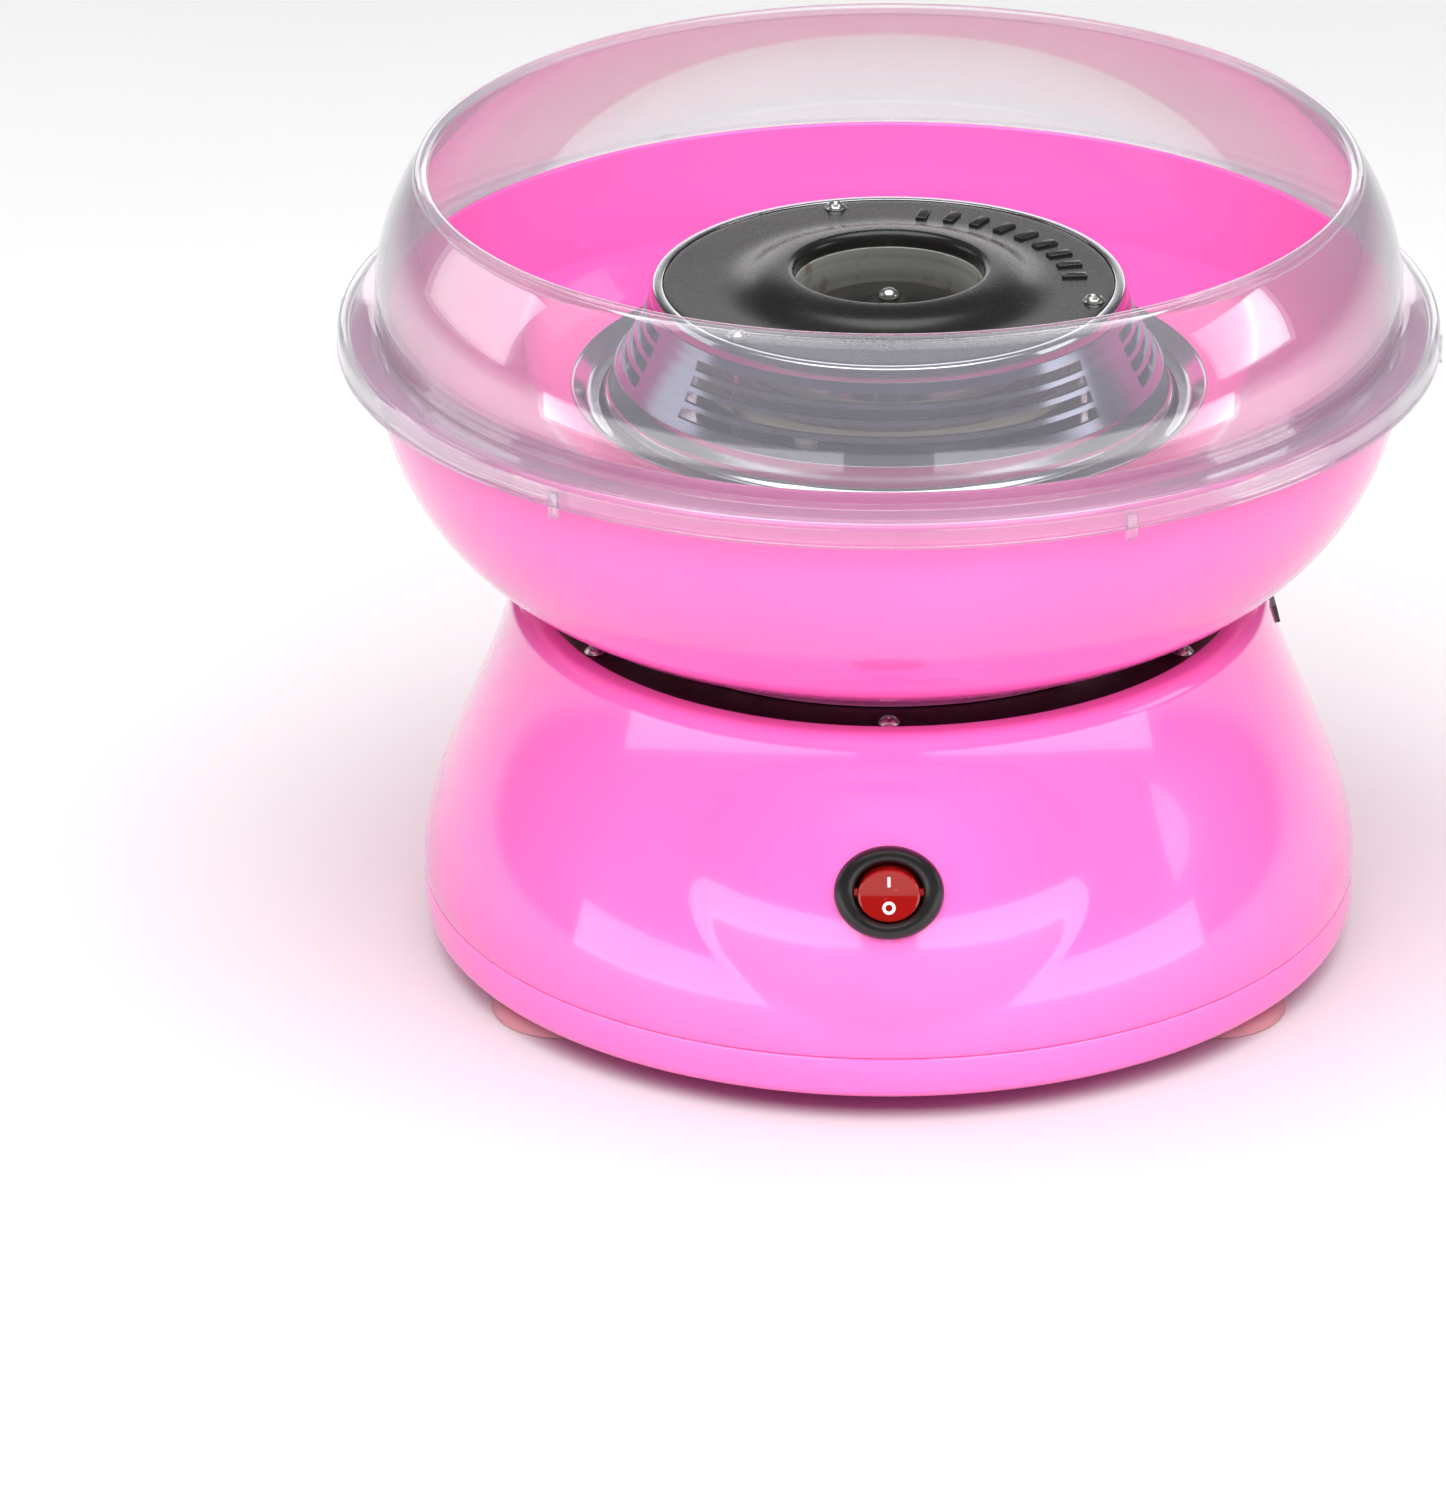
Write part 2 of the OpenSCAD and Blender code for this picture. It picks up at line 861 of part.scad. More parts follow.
module armature_windings() {
    color(copper) {
        sleeve(winding_r, shaft_r, stack_z1 - 1, 5);
        sleeve(winding_r, shaft_r, stack_z0 - 2.5, 3.5);
    }
}

module commutator() {
    color(copper)
        sleeve(commutator_r, shaft_r, bracket_bottom_z + 7.5, 9);
}

module cooling_fan() {
    color([0.85, 0.85, 0.82])
        difference() {
            union() {
                translate([0, 0, fan_z])
                    cylinder(r = fan_hub_r, h = fan_hub_h);
                translate([0, 0, fan_z + fan_hub_h - fan_disc_t - 0.4])
                    cylinder(r = fan_r, h = fan_disc_t);
                for (i = [0:fan_blades - 1])
                    rotate([0, 0, 360 * i / fan_blades])
                        translate([6, -0.6, fan_z + 0.6])
                            cube([fan_r - 6.5, 1.2, 7.4]);
            }
            cylinder(r = shaft_r, h = fan_z + 20);
        }
}

module slip_ring_hub() {
    color([0.45, 0.2, 0.12])
        union() {
            sleeve(hub_r, shaft_r, ring_zs[0] - 4, ring_zs[1] - ring_zs[0] + ring_h + 8);
            sleeve(ring_r + 1.5, shaft_r, ring_zs[0] + ring_h + 1, 3.5);
        }
}

module slip_rings() {
    color(brass)
        for (z = ring_zs)
            sleeve(ring_r, hub_r, z - 0.5, ring_h);
}

module lower_pan() {
    color(metal)
        difference() {
            rotate_extrude()
                polygon(concat(
                    [[shaft_r, pan_z - 10], [12, pan_z - 10], [12, pan_z], [pan_r - 1, pan_z]],
                    arc(pan_r - 0.8, pan_z + 0.8, 0.8, -90, 60, 5),
                    [[band_r0 + 0.3, band_z0], [band_r0 - 1, band_z0]],
                    [[pan_r - 2.2, pan_z + pan_t], [shaft_r, pan_z + pan_t]]
                ));
            at_angles(cap_screw_angles, screw_ring_r)
                translate([0, 0, pan_z - 1])
                    cylinder(r = m3_shaft, h = 10);
        }
}

module heater_spacers() {
    color([0.9, 0.88, 0.84])
        around(3, spacer_ring_r)
            sleeve(spacer_r, 1.2, pan_z + pan_t, heater_z - pan_z - pan_t);
}

module heater_plate() {
    color(mica)
        sleeve(heater_plate_r, heater_hole_r, heater_z, heater_plate_t);
}

module heater_coils() {
    color([0.5, 0.35, 0.25])
        for (r = coil_rings)
            rotate_extrude()
                translate([r, heater_z + heater_plate_t + coil_wire_r])
                    circle(r = coil_wire_r, $fn = 24);
}

// Radius of the bell-shaped band's outside at a share t of its height.
function bell(t) = [
    band_r0 + (band_r1 - band_r0) * (1.35 * t - 0.35 * t * t),
    band_z0 + (band_z1 - band_z0) * t
];

module bell_section(inset) {
    n = 8;
    polygon(concat(
        [for (i = [0:n]) bell(i / n) - [inset, 0]],
        [for (i = [n:-1:0]) bell(i / n) - [inset + band_t, 0]]
    ));
}

module slotted_band() {
    pitch = (band_z1 - band_z0 - 2 * slot_end) / slot_rows;
    color(metal)
        difference() {
            rotate_extrude()
                bell_section(0);
            for (w = [0:windows - 1])
                for (row = [0:slot_rows - 1])
                    rotate([0, 0, 270 - window_angle / 2 + 360 * w / windows])
                        rotate_extrude(angle = window_angle)
                            translate([band_r1 - 6, band_z0 + slot_end + pitch * row + slot_rib / 2])
                                square([20, pitch - slot_rib]);
        }
}

module head_ring() {
    color(metal)
        rotate_extrude()
            polygon(concat(
                [[cap_r - 1.9, band_z1 - 1], [band_r1 - band_t - 0.1, band_z1 - 1]],
                [[band_r1 - band_t - 0.1, band_z1], [band_r1, band_z1]],
                [[head_ring_r + 0.4, head_top_z - 1.2]],
                arc(head_ring_r - 0.8, head_top_z - 0.8, 0.8, 10, 90, 4),
                [[cap_r + 0.2, head_top_z], [cap_r + 0.2, band_z1], [cap_r - 1.9, band_z1]]
            ));
}

module head_cap() {
    color(black)
        difference() {
            union() {
                rotate_extrude()
                    polygon(concat(
                        [[sugar_mouth_r, cap_z - cap_t], [cap_r, cap_z - cap_t]],
                        [[cap_r, cap_z - 0.4], [cap_r - 0.4, cap_z], [41, cap_z]],
                        arc(sugar_mouth_r + 5.2, cap_z + 0.4, 3.6, 52, 100, 5),
                        arc(sugar_mouth_r + 1.6, cap_z + 2.4, 1.6, 110, 180, 5)
                    ));
                for (a = stud_angles)
                    rotate([0, 0, a])
                        translate([stud_r, -stud_size[1] / 2, cap_z - 1])
                            cube(stud_size);
            }
            at_angles(cap_screw_angles, screw_ring_r)
                translate([0, 0, cap_z - 10])
                    cylinder(r = m3_clear, h = 20);
        }
}

module cap_screws() {
    color(metal)
        at_angles(cap_screw_angles, screw_ring_r)
            translate([0, 0, cap_z])
                pan_screw(cap_z - pan_z);
}

module sugar_cup() {
    color(metal)
        rotate_extrude()
            polygon([
                [sugar_mouth_r - 0.2, cup_z0],
                [sugar_mouth_r + 3, cup_z0],
                [sugar_mouth_r + 3, cup_z0 + 1],
                [sugar_mouth_r + 0.8, cup_z0 + 1],
                [sugar_mouth_r + 0.8, cap_z - cap_t],
                [sugar_mouth_r - 0.2, cap_z - cap_t]
            ]);
}

module spreader() {
    color([0.16, 0.15, 0.14])
        rotate_extrude()
            polygon([
                [1.6, shaft_top_z],
                [shaft_r + 0.5, shaft_top_z],
                [spreader_r - 0.3, shaft_top_z - 1.4],
                [spreader_r, shaft_top_z - 0.6],
                [8, shaft_top_z + 1.8],
                [4.2, shaft_top_z + 2.8],
                [1.6, shaft_top_z + 2.8]
            ]);
}

module centre_screw() {
    color(metal)
        translate([0, 0, shaft_top_z + 2.8])
            pan_screw(10, 1.5, 2.7, 2.6);
}

// ---- Bowl ----

function bowl_arc(r, a0, a1, n) = arc(bowl_round_x, bowl_round_z, r, a0, a1, n);

module bowl() {
    inner_r = bowl_round_r - bowl_t;
    wall_r = lip_r - 1.8;
    foot_out = neck_r + 3;
    a_foot = -acos((foot_out - bowl_round_x) / bowl_round_r);
    a_wall = -acos((wall_r - bowl_round_x) / inner_r);
    a_neck = -acos((neck_out_r - bowl_round_x) / inner_r);
    color(plastic_pink)
        rotate_extrude()
            polygon(concat(
                [[neck_r, bowl_foot_z], [foot_out, bowl_foot_z]],
                bowl_arc(bowl_round_r, a_foot, 0, 26),
                [[bowl_r + 0.4, rim_flange_z - 3.2], [bowl_r + 1.2, rim_flange_z - 2.4]],
                [[bowl_r + 5.4, rim_flange_z - 2.2], [bowl_r + 6, rim_flange_z - 1.6]],
                [[bowl_r + 6, rim_flange_z - 0.6], [bowl_r + 5.4, rim_flange_z]],
                [[lip_r, rim_flange_z], [lip_r, lip_top_z - 0.9]],
                arc(lip_r - 0.9, lip_top_z - 0.9, 0.9, 10, 170, 6),
                bowl_arc(inner_r, a_wall, a_neck, 22),
                [[neck_out_r, neck_seat_z], [neck_r, neck_seat_z]]
            ));
}

// At the three screws that hold the neck's ring.
module at_neck_screws(z) {
    around(3, (neck_r + neck_out_r) / 2, 30)
        translate([0, 0, z])
            children();
}

// The neck stands in a seat at the bowl's foot, so the bowl drops over the head.
module bowl_neck() {
    color(plastic_pink)
        difference() {
            sleeve(neck_out_r, neck_r, neck_seat_z, neck_z - neck_seat_z);
            at_neck_screws(neck_z - neck_screw_l)
                cylinder(r = 0.7, h = 10);
        }
}

module neck_ring() {
    color(metal)
        difference() {
            rotate_extrude()
                polygon([
                    [neck_r, neck_z],
                    [neck_r + 3.2, neck_z],
                    [neck_r + 7.4, neck_z + 4.8],
                    [neck_r + 7, neck_z + 5.5],
                    [neck_r + 6.4, neck_z + 5.2],
                    [neck_r + 2.8, neck_z + 1],
                    [neck_r, neck_z + 1]
                ]);
            at_neck_screws(neck_z - neck_screw_l)
                cylinder(r = 0.8, h = 10);
        }
}

module neck_ring_screws() {
    color(steel)
        at_neck_screws(neck_z + 1)
            pan_screw(neck_screw_l, 0.7, 1.1, 0.7);
}

// ---- Guard ----

module guard() {
    wall_top_z = guard_top_z - rim_bead_r;
    wall_foot_z = guard_flange_z + guard_t + 0.6;
    // The wall is an arc that stands upright at mid_z and leans in to the rim.
    mid_z = wall_foot_z + 3.5;
    rise = wall_top_z - mid_z;
    lean = guard_foot_r - guard_rim_r - rim_bead_r;
    bulge = (rise * rise + lean * lean) / (2 * lean);
    mid_r = guard_foot_r - bulge;
    top_a = asin(rise / bulge);
    foot_a = -asin((mid_z - wall_foot_z) / bulge);
    skirt_in = guard_skirt_r - guard_t;
    color([0.9, 0.88, 0.92, 0.4]) {
        rotate_extrude()
            polygon(concat(
                [[skirt_in, guard_skirt_z], [guard_skirt_r + 0.3, guard_skirt_z]],
                [[guard_skirt_r + 0.3, guard_skirt_z + 1], [guard_skirt_r, guard_skirt_z + 1.4]],
                arc(guard_skirt_r - 2.6, guard_flange_z - 1, 2.6, 0, 80, 6),
                [[guard_foot_r + 1.2, wall_foot_z - 0.5]],
                arc(mid_r, mid_z, bulge, foot_a, top_a, 14),
                arc(guard_rim_r, wall_top_z, rim_bead_r, 10, 170, 8),
                arc(mid_r, mid_z, bulge - guard_t, top_a, foot_a, 14),
                [[guard_foot_r - guard_t, guard_flange_z], [skirt_in - 1, guard_flange_z]],
                [[skirt_in, guard_flange_z - 1]]
            ));
        for (a = tab_angles)
            rotate([0, 0, a])
                translate([guard_skirt_r - 0.6, -1.4, guard_skirt_z - 2.6])
                    cube([1.2, 2.8, guard_flange_z - guard_skirt_z + 1.2]);
    }
}

base_shell();
base_tray();
foot_front_left();
foot_front_right();
foot_rear_left();
foot_rear_right();
casing_screws();
top_plate();
top_plate_screws();
motor_bracket_top();
motor_bracket_bottom();
bearing_top();
bearing_bottom();
stator_core();
field_coils();
motor_bolts();
motor_mounts();
motor_mount_screws();
motor_brush_holders();
motor_brushes();
ring_brush_carrier();
ring_brushes();
ring_brush_springs();
thermal_cutout();
switch_housing();
switch_terminals();
cord_gland();
side_vent();
wire_to_switch();
wire_to_motor();
wire_switch_to_motor();
wire_to_heater();
switch_rocker();
rotor_shaft();
armature_core();
armature_windings();
commutator();
cooling_fan();
slip_ring_hub();
slip_rings();
lower_pan();
heater_spacers();
heater_plate();
heater_coils();
slotted_band();
head_ring();
sugar_cup();
spreader();
head_cap();
cap_screws();
centre_screw();
bowl();
bowl_neck();
neck_ring();
neck_ring_screws();
guard();
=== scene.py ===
"""Looks of the cotton candy machine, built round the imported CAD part.

Blender works in metres, the loops below in millimetres. The switch faces -Y, +Z is up.
"""

import json
import math

import bpy
import numpy as np
from mathutils import Matrix, Vector


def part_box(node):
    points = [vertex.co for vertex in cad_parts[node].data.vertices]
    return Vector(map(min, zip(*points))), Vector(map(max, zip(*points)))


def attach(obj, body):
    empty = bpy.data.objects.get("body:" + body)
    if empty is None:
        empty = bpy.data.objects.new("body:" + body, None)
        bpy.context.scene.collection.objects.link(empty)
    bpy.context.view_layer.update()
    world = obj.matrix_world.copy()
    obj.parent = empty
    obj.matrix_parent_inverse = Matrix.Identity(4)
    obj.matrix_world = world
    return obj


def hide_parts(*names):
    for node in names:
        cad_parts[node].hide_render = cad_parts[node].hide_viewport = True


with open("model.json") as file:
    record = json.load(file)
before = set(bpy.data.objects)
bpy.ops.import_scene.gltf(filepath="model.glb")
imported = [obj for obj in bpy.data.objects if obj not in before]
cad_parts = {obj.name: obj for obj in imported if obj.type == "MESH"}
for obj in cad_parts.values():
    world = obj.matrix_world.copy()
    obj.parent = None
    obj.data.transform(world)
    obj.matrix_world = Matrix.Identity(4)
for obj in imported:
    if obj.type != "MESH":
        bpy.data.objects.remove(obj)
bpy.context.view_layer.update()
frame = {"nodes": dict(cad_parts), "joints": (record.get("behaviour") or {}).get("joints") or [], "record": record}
nodes = frame["nodes"]
joints = {j["name"]: j for j in frame["joints"]}

MM = 0.001


# ---------------------------------------------------------------- shapes
def arc(cx, cz, r, a0, a1, n):
    """Points of an arc round (cx, cz), from a0 to a1 degrees."""
    return [
        (cx + r * math.cos(math.radians(a)), cz + r * math.sin(math.radians(a)))
        for a in np.linspace(a0, a1, n + 1)
    ]


def turn(n):
    """n angles, evenly round a full turn."""
    return np.linspace(0, 2 * math.pi, n + 1)[:-1]


def bezier(p, n):
    """n + 1 points of a cubic curve."""
    out = []
    for t in np.linspace(0, 1, n + 1):
        s = 1 - t
        w = (s**3, 3 * s * s * t, 3 * s * t * t, t**3)
        out.append(tuple(sum(w[k] * p[k][i] for k in range(4)) for i in (0, 1)))
    return out


def rounded(points, radii, n=5):
    """A polyline with its inner corners rounded by the given radii (0 keeps a corner sharp)."""
    out = [points[0]]
    for i in range(1, len(points) - 1):
        r = radii[i - 1]
        p, a, b = (np.array(q, float) for q in (points[i], points[i - 1], points[i + 1]))
        da, db = a - p, b - p
        la, lb = np.linalg.norm(da), np.linalg.norm(db)
        if r <= 0:
            out.append(tuple(p))
            continue
        c = min(r, la * 0.49, lb * 0.49)
        s, e = p + da / la * c, p + db / lb * c
        for t in np.linspace(0, 1, n + 1):
            out.append(tuple((1 - t) ** 2 * s + 2 * t * (1 - t) * p + t * t * e))
    out.append(points[-1])
    return out


def tidy_loop(loop, closed):
    """The loop without repeated points, turning so that faces look outwards."""
    out = []
    for p in loop:
        if not out or math.dist(p, out[-1]) > 1e-4:
            out.append((max(p[0], 0.0), p[1]))
    if closed and math.dist(out[0], out[-1]) <= 1e-4:
        out.pop()
    area = sum(
        out[i][0] * out[(i + 1) % len(out)][1] - out[(i + 1) % len(out)][0] * out[i][1]
        for i in range(len(out))
    )
    return out if area > 0 else out[::-1]


def lathe_data(loop, angles=None, closed=True, deform=None):
    """Vertices (mm) and faces of a solid of revolution. loop is closed, or runs from axis to axis."""
    loop = tidy_loop(loop, closed)
    if angles is None:
        angles = turn(256)
    n, m = len(loop), len(angles)
    verts, index = [], np.zeros((n, m), int)
    cos, sin = np.cos(angles), np.sin(angles)
    for i, (r, z) in enumerate(loop):
        if r < 1e-6:
            index[i, :] = len(verts)
            verts.append((0.0, 0.0, z))
            continue
        index[i, :] = np.arange(len(verts), len(verts) + m)
        rr = np.full(m, r) if deform is None else deform(i, r, z, angles)
        verts += list(zip(rr * cos, rr * sin, np.full(m, z)))
    faces = []
    for i in range(n if closed else n - 1):
        k = (i + 1) % n
        for j in range(m):
            q = (index[i, j], index[i, (j + 1) % m], index[k, (j + 1) % m], index[k, j])
            q = [int(v) for v in dict.fromkeys(q)]
            if len(q) > 2:
                faces.append(q)
    return verts, faces


def stitched(index, n):
    """Faces between rings of n vertex numbers; a pole is a ring that repeats one number."""
    faces = []
    for low, high in zip(index, index[1:]):
        for k in range(n):
            q = list(dict.fromkeys((low[k], low[(k + 1) % n], high[(k + 1) % n], high[k])))
            if len(q) > 2:
                faces.append(q)
    return faces


def joined(parts):
    """Several (vertices, faces) as one."""
    verts, faces = [], []
    for v, f in parts:
        base = len(verts)
        verts += [tuple(p) for p in v]
        faces += [[i + base for i in q] for q in f]
    return verts, faces


def placed(data, matrix):
    return [tuple(matrix @ Vector(v)) for v in data[0]], data[1]


def bevelled_box(size, bevel, steps=3):
    """A box about the origin with rounded vertical and top edges, as one loft of rounded rectangles."""
    lx, ly, lz = (s / 2 for s in size)
    rows = [(0.0, -lz)] + [
        (bevel * (1 - math.cos(a)), lz - bevel + bevel * math.sin(a))
        for a in np.linspace(0, math.pi / 2, steps + 1)
    ]
    verts, faces = [], []
    n = 4 * (steps + 1)
    for inset, z in rows:
        for q, (sx, sy) in enumerate(((1, 1), (-1, 1), (-1, -1), (1, -1))):
            for k in range(steps + 1):
                a = math.pi / 2 * (q + k / steps)
                verts.append(
                    (
                        sx * (lx - bevel) + (bevel - inset) * math.cos(a),
                        sy * (ly - bevel) + (bevel - inset) * math.sin(a),
                        z,
                    )
                )
    for i in range(len(rows) - 1):
        for j in range(n):
            k = (j + 1) % n
            faces.append([i * n + j, i * n + k, (i + 1) * n + k, (i + 1) * n + j])
    faces.append([j for j in range(n - 1, -1, -1)])
    faces.append([(len(rows) - 1) * n + j for j in range(n)])
    return verts, faces


def loft_ovals(rings, n=96):
    """A solid through ovals given as (half width, half height, z), from a pole to a pole."""
    verts, index = [], []
    for a, b, z in rings:
        if a < 1e-6:
            index.append([len(verts)] * n)
            verts.append((0.0, 0.0, z))
            continue
        index.append(list(range(len(verts), len(verts) + n)))
        for k in range(n):
            t = 2 * math.pi * k / n
            verts.append((a * math.cos(t), b * math.sin(t), z))
    return verts, stitched(index, n)


def cross_recess(r, a, width, reach):
    """How deep a cross recess is at a polar point, from 0 to 1."""
    x, y = abs(r * math.cos(a)), abs(r * math.sin(a))
    long, short = max(x, y), min(x, y)
    side = 1 - min(max((short - width * 0.5) / (width * 0.35), 0), 1)
    end = 1 - min(max((long - reach * 0.7) / (reach * 0.3), 0), 1)
    return side * end


def screw_data(head_r, head_h, shaft_r, length, recess=0.6, n=64, twist=0.0):
    """A pan-head screw with a cross recess, its head resting on z = 0 and its shaft below."""
    dome_r = (head_r**2 + head_h**2) / (2 * head_h)
    rows = 26
    edge_h = 0.18
    verts, index = [], []

    def ring(r, z_of):
        if r < 1e-6:
            index.append([len(verts)] * n)
            verts.append((0.0, 0.0, z_of(0.0)))
            return
        index.append(list(range(len(verts), len(verts) + n)))
        for k in range(n):
            t = 2 * math.pi * k / n
            verts.append((r * math.cos(t), r * math.sin(t), z_of(t)))

    ring(0.0, lambda t: -length)
    ring(shaft_r * 0.7, lambda t: -length)
    ring(shaft_r, lambda t: -length + 0.5)
    ring(shaft_r, lambda t: 0.0)
    ring(head_r - 0.15, lambda t: 0.0)
    ring(head_r, lambda t: edge_h)
    for k in range(rows):
        r = head_r * (1 - (k + 0.6) / rows)
        top = max(math.sqrt(dome_r**2 - r * r) - (dome_r - head_h), edge_h + 0.4 * (1 - r / head_r))
        ring(
            r,
            lambda t, r=r, top=top: top
            - recess * head_h * cross_recess(r, t + twist, head_r * 0.28, head_r * 0.72),
        )
    ring(0.0, lambda t: head_h * (1 - recess))
    return verts, stitched(index, n)


def piece(name, data, look, body, stands_for=(), sharp=32, smooth=True):
    """A finished piece from (vertices in mm, faces), riding on its body."""
    mesh = bpy.data.meshes.new(name)
    mesh.from_pydata([tuple(c * MM for c in v) for v in data[0]], [], data[1])
    mesh.validate()
    mesh.materials.append(look)
    if smooth:
        mesh.shade_smooth()
        mesh.set_sharp_from_angle(angle=math.radians(sharp))
    o = bpy.data.objects.new(name, mesh)
    bpy.context.scene.collection.objects.link(o)
    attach(o, body)
    if stands_for:
        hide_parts(*stands_for)
    return o


def cut(o, cutter):
    """Cuts the given (vertices, faces) out of o, for good."""
    mesh = bpy.data.meshes.new("cutter")
    mesh.from_pydata([tuple(c * MM for c in v) for v in cutter[0]], [], cutter[1])
    tool = bpy.data.objects.new("cutter", mesh)
    bpy.context.scene.collection.objects.link(tool)
    m = o.modifiers.new("cut", "BOOLEAN")
    m.operation, m.solver, m.object = "DIFFERENCE", "EXACT", tool
    bpy.context.view_layer.update()
    dg = bpy.context.evaluated_depsgraph_get()
    done = bpy.data.meshes.new_from_object(o.evaluated_get(dg), depsgraph=dg)
    o.modifiers.clear()
    old, o.data = o.data, done
    bpy.data.objects.remove(tool)
    bpy.data.meshes.remove(old)
    o.data.shade_smooth()
    o.data.set_sharp_from_angle(angle=math.radians(32))


# ---------------------------------------------------------------- materials
class Graph:
    """A small helper for building one material's nodes."""

    def __init__(self, name):
        self.mat = bpy.data.materials.new(name)
        self.mat.use_nodes = True
        self.tree = self.mat.node_tree
        self.tree.nodes.clear()
        self.out = self.add("ShaderNodeOutputMaterial")
        self.coord = self.add("ShaderNodeTexCoord")

    def add(self, kind, **values):
        n = self.tree.nodes.new(kind)
        for k, v in values.items():
            setattr(n, k, v)
        return n

    def link(self, a, b):
        self.tree.links.new(a, b)

    def noise(self, scale, detail=3, rough=0.5, stretch=None):
        n = self.add("ShaderNodeTexNoise")
        n.inputs["Scale"].default_value = scale
        n.inputs["Detail"].default_value = detail
        n.inputs["Roughness"].default_value = rough
        source = self.coord.outputs["Object"]
        if stretch is not None:
            m = self.add("ShaderNodeMapping")
            m.inputs["Scale"].default_value = stretch
            self.link(source, m.inputs["Vector"])
            source = m.outputs["Vector"]
        self.link(source, n.inputs["Vector"])
        return n.outputs["Fac"]

    def turned_noise(self, scale, across):
        """Noise that runs round the Z axis, as on a part finished on a lathe."""
        sep = self.add("ShaderNodeSeparateXYZ")
        self.link(self.coord.outputs["Object"], sep.inputs[0])
        r = self.math("SQRT", self.math("ADD", self.math("MULTIPLY", sep.outputs[0], sep.outputs[0]),
                                        self.math("MULTIPLY", sep.outputs[1], sep.outputs[1])))
        comb = self.add("ShaderNodeCombineXYZ")
        self.link(self.math("MULTIPLY", r, across), comb.inputs[0])
        self.link(self.math("MULTIPLY", sep.outputs[2], across), comb.inputs[1])
        self.link(self.math("MULTIPLY", sep.outputs[0], 6.0), comb.inputs[2])
        n = self.add("ShaderNodeTexNoise")
        n.inputs["Scale"].default_value = scale
        n.inputs["Detail"].default_value = 4
        self.link(comb.outputs[0], n.inputs["Vector"])
        return n.outputs["Fac"]

    def math(self, op, a, b=None):
        n = self.add("ShaderNodeMath", operation=op)
        for i, v in enumerate((a, b)):
            if v is None:
                continue
            if isinstance(v, (int, float)):
                n.inputs[i].default_value = v
            else:
                self.link(v, n.inputs[i])
        return n.outputs[0]

    def spread(self, value, low, high, a=0.3, b=0.7):
        """Maps a noise value from a..b to low..high."""
        n = self.add("ShaderNodeMapRange")
        for k, v in zip(("From Min", "From Max", "To Min", "To Max"), (a, b, low, high)):
            n.inputs[k].default_value = v
        self.link(value, n.inputs["Value"])
        return n.outputs["Result"]

    def mix(self, fac, a, b):
        n = self.add("ShaderNodeMix", data_type="RGBA")
        for socket, v in ((n.inputs[0], fac), (n.inputs[6], a), (n.inputs[7], b)):
            if isinstance(v, tuple):
                socket.default_value = (*v, 1.0)
            elif isinstance(v, (int, float)):
                socket.default_value = v
            else:
                self.link(v, socket)
        return n.outputs[2]

    def edges(self, low=0.53, high=0.62):
        """High on sharp outer edges."""
        g = self.add("ShaderNodeNewGeometry")
        return self.spread(g.outputs["Pointiness"], 0.0, 1.0, low, high)

    def bump(self, height, strength, distance):
        n = self.add("ShaderNodeBump")
        n.inputs["Strength"].default_value = strength
        n.inputs["Distance"].default_value = distance
        self.link(height, n.inputs["Height"])
        return n.outputs["Normal"]

    def principled(self, **sockets):
        n = self.add("ShaderNodeBsdfPrincipled")
        for k, v in sockets.items():
            socket = n.inputs[k.replace("_", " ")]
            if isinstance(v, tuple):
                socket.default_value = (*v, 1.0) if len(v) == 3 and socket.type == "RGBA" else v
            elif isinstance(v, (int, float)):
                socket.default_value = v
            else:
                self.link(v, socket)
        return n

    def finish(self, shader):
        self.link(shader.outputs[0], self.out.inputs["Surface"])
        return self.mat


def shade(colour, k):
    return tuple(min(max(c * k, 0.0), 1.0) for c in colour)


def moulded(name, colour, rough=(0.2, 0.3), vary=0.06, grain=900.0, depth=0.00002, edge=None, **sockets):
    """Moulded plastic or rubber: cloudy colour, uneven gloss, fine skin texture, paler worn edges."""
    g = Graph(name)
    clouds = g.noise(22, 3)
    base = g.mix(g.spread(clouds, 0, 1), shade(colour, 1 - vary), shade(colour, 1 + vary))
    if edge is not None:
        worn = g.math("MULTIPLY", g.edges(), g.spread(g.noise(260, 4), 0.15, 0.7))
        base = g.mix(worn, base, edge)
    smears = g.math(
        "ADD", g.math("MULTIPLY", g.noise(60, 5, 0.6), 0.6), g.math("MULTIPLY", g.noise(700, 2), 0.4)
    )
    gloss = g.spread(smears, rough[0], rough[1])
    skin = g.math("ADD", g.noise(grain, 3), g.math("MULTIPLY", g.noise(90, 1), 1.5))
    return g.finish(g.principled(
        Base_Color=base, Roughness=gloss, Normal=g.bump(skin, 0.25, depth), **sockets))


LINE_DEPTH = 0.00002


def metal(name, colour, rough=(0.2, 0.4), across=900.0, stain=None, turned=True, grain=0.2):
    """Machined or drawn metal: fine turned lines, uneven gloss, faint stains."""
    g = Graph(name)
    lines = g.turned_noise(1.0, across) if turned else g.noise(120, 5, 0.6, stretch=(1, 1, 14))
    base = g.mix(g.spread(lines, 0, 1), shade(colour, 0.88), shade(colour, 1.08))
    if stain is not None:
        base = g.mix(g.spread(g.noise(70, 5, 0.65), 0.0, 0.8, 0.52, 0.7), base, stain)
    smears = g.math("ADD", g.math("MULTIPLY", lines, 0.5), g.math("MULTIPLY", g.noise(160, 4), 0.5))
    gloss = g.spread(smears, rough[0], rough[1])
    return g.finish(g.principled(
        Base_Color=base, Metallic=1.0, Roughness=gloss, Normal=g.bump(lines, grain, LINE_DEPTH)))


